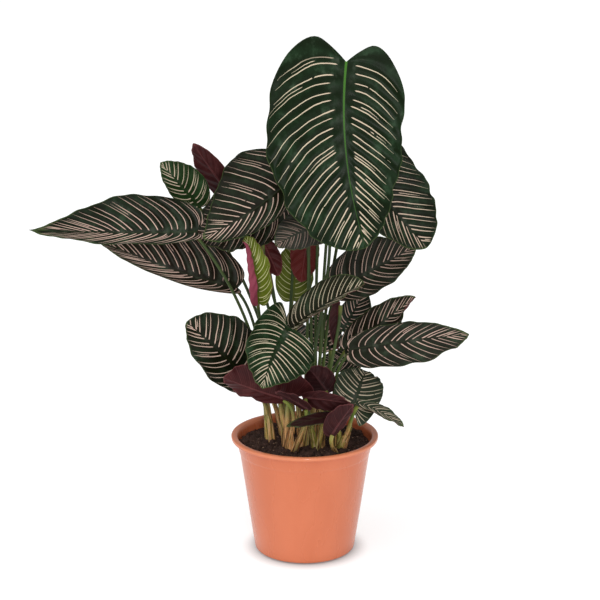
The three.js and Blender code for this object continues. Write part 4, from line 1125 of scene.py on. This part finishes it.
def under_material(name, blade, plain, blushed):
    """Under side of a blade: dull purple with a painted sheen in pale patches, painted shade on leaves deep
    in the plant, faint paler side veins and a paler midrib.
    """
    graph = Graph(name)
    place, _ = graph.map("rows")
    _, _, blush = graph.three("tint")
    length, across, inset, pitch = graph.numbers("length", "across", "inset", "pitch")
    cloud = graph.noise(graph.place(), 40, 4, 0.6)
    dusk, _, _ = graph.three("style")
    base = graph.mix((blush + (cloud - 0.5) * 0.5).clipped(), plain, blushed)
    # Painted sheen: pale patches in the cloud.
    base = graph.mix(cloud.rise(0.5, 0.8) * 0.22, base, blade.pale)
    vein = (1 - (abs(place.share() - 0.5) * pitch).rise(0.1, 0.5)) * 0.12
    fine = (1 - (abs((place * 5).share() - 0.5) * pitch * 0.2).rise(0.1, 0.35)) * 0.1
    base = graph.mix(vein + fine, base, blade.pale)
    middle = (1.8 - length * 1.5 - across) * 2
    base = graph.mix(middle.clipped() * 0.25, base, blade.pale)
    # Painted shade: the leaf's share of painted shade darkens its under side.
    base = graph.mix(dusk * 0.6, base, blade.dark)
    base = graph.mix((1 - inset.rise(0.2, 1.0)) * 0.3, base, blade.pale)
    graph.bump(vein + cloud * 0.3, 0.3, 0.0008)
    return graph.finish(base, cloud * 0.2 + 0.34, 0.1)


class CALATHEA_OT_leaves(bpy.types.Operator):
    """Makes a blade for every leaf"""
    bl_idname = "calathea.leaves"
    bl_label = "Leaf blades"

    def execute(self, context):
        blade = context.scene.calathea_blade
        looks = {
            False: ("leaf", [upper_material("leaf_upper", blade, blade.deep, blade.sheen, blade.pink,
                                            blade.cream),
                             under_material("leaf_under", blade, blade.under, blade.blush)]),
            True: ("young_leaf", [upper_material("young_upper", blade, blade.young, blade.young_sheen,
                                                 blade.young_line, blade.young_line),
                                  under_material("young_under", blade, blade.young_under, blade.blush)]),
        }
        for seed, leaf in enumerate(LEAVES):
            points, quads, kinds, coordinates, numbers = blade_mesh(leaf, blade, seed)
            slot, materials = looks[leaf["young"]]
            new_piece("blade_" + leaf["name"], points, quads, materials, slot, ["leaf_" + leaf["name"]],
                      kinds, numbers, coordinates)
        return {"FINISHED"}


# ---- Stalks ----

def clear_drop(leaf, heading, stalk, blade):
    """How far in mm under the midrib's base a disc that faces the heading stays, to clear both halves."""
    _, _, face, aside = (v[0] for v in midrib_frame(leaf, np.zeros(1)))
    drops = []
    for side, fold in enumerate(leaf["fold"]):
        droop = math.radians(min(0, fold))
        normal = math.cos(droop) * face + (-1 if side else 1) * math.sin(droop) * aside
        lean = math.sqrt(max(0, 1 - float(heading @ normal) ** 2))
        reach = (stalk.radius + stalk.knee_extra) * lean
        drops.append((blade.thickness / 2 + stalk.seat_gap + reach) / MM / math.cos(droop))
    return max(drops)


def stalk_curve(leaf, drop, soil, stalk, steps):
    """Middle line of a stalk in mm: a cubic curve from the soil to the given drop under the blade's base."""
    point, along, face, _ = (v[0] for v in midrib_frame(leaf, np.zeros(1)))
    end = point - face * drop + along * stalk.inset / MM
    crown = np.array(CROWNS[leaf["crown"]], float)
    foot = np.append(crown + leaf["foot"], (soil.top - stalk.depth) / MM)
    rise = foot + leaf["rise"]
    neck = end + leaf["neck"]
    share = np.linspace(0, 1, steps)[:, None]
    return ((1 - share) ** 3 * foot + 3 * share * (1 - share) ** 2 * rise
            + 3 * share**2 * (1 - share) * neck + share**3 * end)


def stalk_path(leaf, soil, stalk, blade, steps=60, trial_steps=9):
    """Middle line and radius of a stalk in metres, with the length up to each place. It is thick at the foot
    and at the knee under the blade, as two bell curves on top of the plain radius. A first, coarse curve
    gives the way that its end points."""
    trial = stalk_curve(leaf, stalk.radius / MM, soil, stalk, trial_steps)
    heading = unit(trial[-1] - trial[-2])
    path = stalk_curve(leaf, clear_drop(leaf, heading, stalk, blade), soil, stalk, steps) * MM
    gone = np.r_[0, np.cumsum(np.linalg.norm(np.diff(path, axis=0), axis=1))]
    wrapped = min(stalk.sheath_length, gone[-1] / 2)
    radius = (stalk.radius + stalk.sheath_extra * np.exp(-((gone / wrapped) ** 2))
              + stalk.knee_extra * np.exp(-(((gone[-1] - gone) / stalk.knee_length) ** 2)))
    return path, radius, gone


def spokes(across, beside, turn):
    """Directions square to a path at these turns round it."""
    return across[:, None] * np.cos(turn)[..., None] + beside[:, None] * np.sin(turn)[..., None]


def path_frames(path, straight=0.02):
    """Directions along a path and two square to it, the first of them square to the plane of its bend. The
    first axis takes its place on a path whose ends differ by less than straight radians."""
    along = unit(np.gradient(path, axis=0))
    bent = np.cross(along[0], along[-1])
    flat = unit(bent) if np.linalg.norm(bent) > straight else np.array([1.0, 0, 0])
    across = unit(flat - dot(along, flat) * along)
    return along, across, np.cross(along, across)


def stalk_tube(path, radius, gone, sides=14, groove=(0.22, 0.5), dome=(0.12, 0.7), top=0.16):
    """Closed tube along a path. A groove runs down one side, with its depth as a share of the radius and its
    half width in radians. The end is round, and its dome (height, radius) and top are shares too."""
    depth, half_width = groove
    dome_height, dome_radius = dome
    along, across, beside = path_frames(path)
    turn = np.linspace(0, TAU, sides + 1)[None, :]
    turn[0, -1] = 0
    dent = 1 - depth * np.exp(-(((turn + math.pi / 2) % TAU - math.pi) / half_width) ** 2)
    around = spokes(across, beside, turn)
    body = path[:, None] + around * (radius[:, None] * dent)[..., None]
    curve = path[-1] + radius[-1] * (along[-1] * dome_height + around[-1] * dome_radius)
    foot = np.broadcast_to(path[0], body[0].shape)
    end = np.broadcast_to(path[-1] + along[-1] * radius[-1] * top, body[0].shape)
    points = np.concatenate([foot[None], body, curve[None], end[None]])
    height = np.r_[gone[0], gone, gone[-1], gone[-1]]
    numbers = {"gone": np.repeat(height, sides + 1), "left": np.repeat(gone[-1] - height, sides + 1),
               "turn": np.tile(turn[0], len(height)), "husk": np.zeros(len(height) * (sides + 1))}
    return points.reshape(-1, 3), grid_quads(len(points), sides + 1), numbers


def husk_shell(path, radius, gone, stalk, draw, columns=15, rows=26, reaches=(0.7, 1.35), limit=0.6,
               cover=165, narrows=(2.2, 0.7), twist=0.5, lift=0.0003, flare=0.0007, ripple=(0.0002, 9)):
    """Papery sheath round the foot of a stalk: a thin shell that narrows from cover degrees to each side at
    the soil to a point, with two powers for how it narrows. Its length is a random share of the sheath's, at
    most a limit of the stalk's. It lies lift metres off the stalk, with a flare at its edges and a ripple
    round the turn (height, number)."""
    reach = min(stalk.sheath_length * draw.uniform(*reaches), gone[-1] * limit)
    height = np.linspace(0, 1, rows)
    where = height * reach
    centre = np.stack([np.interp(where, gone, path[:, k]) for k in range(3)], axis=-1)
    inner = np.interp(where, gone, radius)
    _, across, beside = path_frames(centre)
    middle = draw.uniform(0, TAU)
    first, second = narrows
    high, number = ripple
    width = np.radians(cover) * (1 - height**first) ** second
    share = np.linspace(-1, 1, columns)
    turn = middle + twist * height[:, None] + width[:, None] * share[None, :]
    off = lift + flare * share[None, :] ** 4 + high * np.sin(number * turn)
    around = spokes(across, beside, turn)
    outside = centre[:, None] + around * (inner[:, None] + off + stalk.husk)[..., None]
    inside = centre[:, None] + around * (inner[:, None] + off)[..., None]
    size = rows * columns
    left = np.arange(rows) * columns
    base = np.arange(columns)
    rims = [rim_quads(left, size), rim_quads(left + columns - 1, size, True), rim_quads(base, size, True),
            rim_quads(base + size - columns, size)]
    quads = np.vstack([grid_quads(rows, columns), grid_quads(rows, columns, size, True), *rims])
    # left is 1 m, far from the stalk's end, and husk is 1 in the middle and 2 at the edges
    numbers = {"gone": np.tile(np.repeat(where, columns), 2), "left": np.ones(2 * size),
               "turn": np.tile(turn.ravel(), 2), "husk": np.tile(np.tile(1 + np.abs(share), rows), 2)}
    return np.vstack([outside.reshape(-1, 3), inside.reshape(-1, 3)]), quads, numbers


def stalk_material(stalk):
    """Fleshy stalks: tan and olive sheaths with green and brown streaks at the soil, green above and darker
    still higher up as painted shade; the dark and pale streaks of the foot are partly painted shade in the
    gaps between stalks and painted highlights.
    """
    graph = Graph("stalk_flesh")
    gone, left, turn, husk, shade = graph.numbers("gone", "left", "turn", "husk", "shade")
    streak = graph.noise(graph.vector(turn * 1.6, gone * 9, husk * 3 + shade * 40), 1.6, 3, 0.6)
    strand = graph.noise(graph.vector(turn * 5, gone * 13, shade * 70), 1.5, 3, 0.7)
    cloud = graph.noise(graph.place(), 45, 3)
    # Painted shade: the green darkens higher up, where the stalks stand behind the leaves.
    bright = (shade * 0.75 + streak * 0.3) * (1 - gone.rise(0.06, 0.18) * 0.75)
    base = graph.mix(bright, stalk.deep, stalk.green)
    # Dark streaks, which are partly painted shade between the stalks.
    base = graph.mix(strand.rise(0.5, 0.62) * 0.45, base, stalk.deep)
    foot = graph.mix((streak.rise(0.38, 0.6) + (shade - 0.5) * 1.5 - gone * 6 + 0.15).clipped(),
                     stalk.olive, stalk.tan)
    # The dark streaks of the foot are partly painted shade in the gaps between stalks, and the pale ones
    # partly painted highlights.
    foot = graph.mix(strand.rise(0.52, 0.56) * 0.95, foot, stalk.deep)
    foot = graph.mix((1 - strand.rise(0.41, 0.45)) * 0.75, foot, stalk.pale)
    foot = graph.mix((cloud.rise(0.6, 0.7) * 0.5 + husk.rise(1.8, 1.98)).least(1), foot, stalk.husk_brown)
    low = 1 - (gone + (cloud - 0.5) * 0.05).rise(0.035, 0.09)
    base = graph.mix(low, base, foot)
    base = graph.mix((1 - left.rise(0.004, 0.016)) * 0.3, base, stalk.olive)
    graph.bump(streak, 0.4, 0.0006)
    return graph.finish(base, streak * 0.2 + 0.42, 0.3)


class CALATHEA_OT_stalks(bpy.types.Operator):
    """Makes the crowns of leaf stalks with their sheaths"""
    bl_idname = "calathea.stalks"
    bl_label = "Stalks"
    seed = 21

    def execute(self, context):
        scene = context.scene
        soil, stalk, blade = scene.calathea_soil, scene.calathea_stalk, scene.calathea_blade
        material = stalk_material(stalk)
        draw = np.random.default_rng(self.seed)
        for crown in CROWNS:
            points, quads, numbers = [], [], {}
            for leaf in (leaf for leaf in LEAVES if leaf["crown"] == crown):
                path, radius, gone = stalk_path(leaf, soil, stalk, blade)
                shade = draw.uniform(0, 1)
                for shape in (stalk_tube(path, radius, gone), husk_shell(path, radius, gone, stalk, draw)):
                    shape[2]["shade"] = np.full(len(shape[0]), shade)
                    quads.append(shape[1] + sum(len(p) for p in points))
                    points.append(shape[0])
                    for key, value in shape[2].items():
                        numbers.setdefault(key, []).append(value)
            new_piece("stalks_" + crown, np.vstack(points), np.vstack(quads), [material], "stalk",
                      ["crown_" + crown], numbers={key: np.concatenate(v) for key, v in numbers.items()})
        return {"FINISHED"}


# ---- Stage ----

class CALATHEA_OT_stage(bpy.types.Operator):
    """Lays the floor, and sets the light and the camera"""
    bl_idname = "calathea.stage"
    bl_label = "Stage"
    # Where each sun shines from, the place, heading and size of the tall lamp, and the width in mm of the
    # camera's sensor.
    key_from = (-0.4, -0.5, 1.1)
    fill_from = (1.0, -0.8, 0.55)
    strip_place = (0.12, -1.7, 0.75)
    strip_from = (0.12, -1.7, 0.4)
    strip_size = (0.16, 1.1)
    sensor = 36

    def execute(self, context):
        stage = context.scene.calathea_stage
        self.lay_floor(stage)
        self.light(context, stage)
        self.look(context, stage)
        return {"FINISHED"}

    def lay_floor(self, stage):
        """White paper that glows, so that it is as even as the sky behind it, and glows less close to the
        pot, which is a painted contact shadow.
        """
        graph = Graph("floor_paper")
        cloud = graph.noise(graph.place(), 3, 2)
        material = graph.finish(graph.mix(cloud * 0.05, stage.floor, (1, 1, 1)), 0.9, 0.1)
        graph.shader.inputs["Emission Color"].default_value = (1, 1, 1, 1)
        x, y, _ = graph.parts(graph.place().socket)
        # Painted shadow: the glow fades out towards the pot's foot.
        reach = (x * x + y * y).power(0.5)
        glow = reach.rise(stage.glow_start, stage.glow_end) * stage.glow
        graph.put(glow, graph.shader.inputs["Emission Strength"])
        half = stage.floor_size / 2
        mesh = bpy.data.meshes.new("floor")
        corners = [(-half, -half, 0), (half, -half, 0), (half, half, 0), (-half, half, 0)]
        mesh.from_pydata(corners, [], [(0, 1, 2, 3)])
        mesh.materials.append(material)
        floor = placed("floor", mesh)

    def light(self, context, stage):
        """An even sky, which is white where the camera sees it, two wide suns, as soft as large lamps, and a
        tall narrow lamp for the gloss."""
        world = bpy.data.worlds.new("studio")
        world.use_nodes = True
        tree = world.node_tree
        background = tree.nodes["Background"]
        background.inputs["Color"].default_value = (1, 1, 1, 1)
        seen = tree.nodes.new("ShaderNodeLightPath")
        strength = tree.nodes.new("ShaderNodeMapRange")
        strength.inputs["To Min"].default_value = stage.sky
        strength.inputs["To Max"].default_value = stage.backdrop
        tree.links.new(seen.outputs["Is Camera Ray"], strength.inputs["Value"])
        tree.links.new(strength.outputs["Result"], background.inputs["Strength"])
        context.scene.world = world
        for name, place, power in (("key_light", self.key_from, stage.key),
                                   ("fill_light", self.fill_from, stage.fill)):
            self.lamp(name, "SUN", place, place, energy=power, angle=stage.softness)
        width, height = self.strip_size
        self.lamp("strip_light", "AREA", self.strip_place, self.strip_from, shape="RECTANGLE",
                  size=width, size_y=height, energy=stage.strip)

    def lamp(self, name, kind, place, heading, **settings):
        """One lamp that shines against its heading."""
        lamp = bpy.data.lights.new(name, kind)
        for key, value in settings.items():
            setattr(lamp, key, value)
        light = placed(name, lamp)
        light.location = place
        light.rotation_euler = Vector(heading).to_track_quat("Z", "Y").to_euler()

    def look(self, context, stage):
        """The camera, and colours shown as they are."""
        lens = bpy.data.cameras.new("camera")
        lens.lens = stage.lens
        lens.sensor_width = self.sensor
        camera = placed("camera", lens)
        camera.location = (stage.camera_side, -stage.camera_distance, stage.camera_height)
        camera.rotation_euler = (stage.camera_tilt, 0, 0)
        context.scene.camera = camera
        context.scene.view_settings.view_transform = "Standard"


# ---- Add-on ----

class CALATHEA_PT_panel(bpy.types.Panel):
    """The steps that build the potted calathea"""
    bl_idname = "CALATHEA_PT_panel"
    bl_label = "Potted calathea"
    bl_space_type = "VIEW_3D"
    bl_region_type = "UI"
    bl_category = "Calathea"

    def draw(self, context):
        for step in STEPS:
            self.layout.operator(step.bl_idname)


SETTINGS = {
    "calathea_pot": PotSettings,
    "calathea_soil": SoilSettings,
    "calathea_stalk": StalkSettings,
    "calathea_blade": BladeSettings,
    "calathea_stage": StageSettings,
}
STEPS = (CALATHEA_OT_stage, CALATHEA_OT_pot, CALATHEA_OT_soil, CALATHEA_OT_stalks, CALATHEA_OT_leaves)


def register():
    for kind in (*SETTINGS.values(), *STEPS, CALATHEA_PT_panel):
        bpy.utils.register_class(kind)
    for name, settings in SETTINGS.items():
        setattr(bpy.types.Scene, name, PointerProperty(type=settings))


def unregister():
    for name in SETTINGS:
        delattr(bpy.types.Scene, name)
    for kind in (CALATHEA_PT_panel, *reversed(STEPS), *reversed(SETTINGS.values())):
        bpy.utils.unregister_class(kind)


def plain(bounds):
    """Two corners as plain lists of numbers."""
    return [[float(value) for value in corner] for corner in bounds]


def main():
    """Registers the add-on, and makes every piece."""
    register()
    bpy.ops.calathea.stage()
    bpy.ops.calathea.pot()
    bpy.ops.calathea.soil()
    bpy.ops.calathea.stalks()
    bpy.ops.calathea.leaves()


if __name__ == "__main__":
    main()
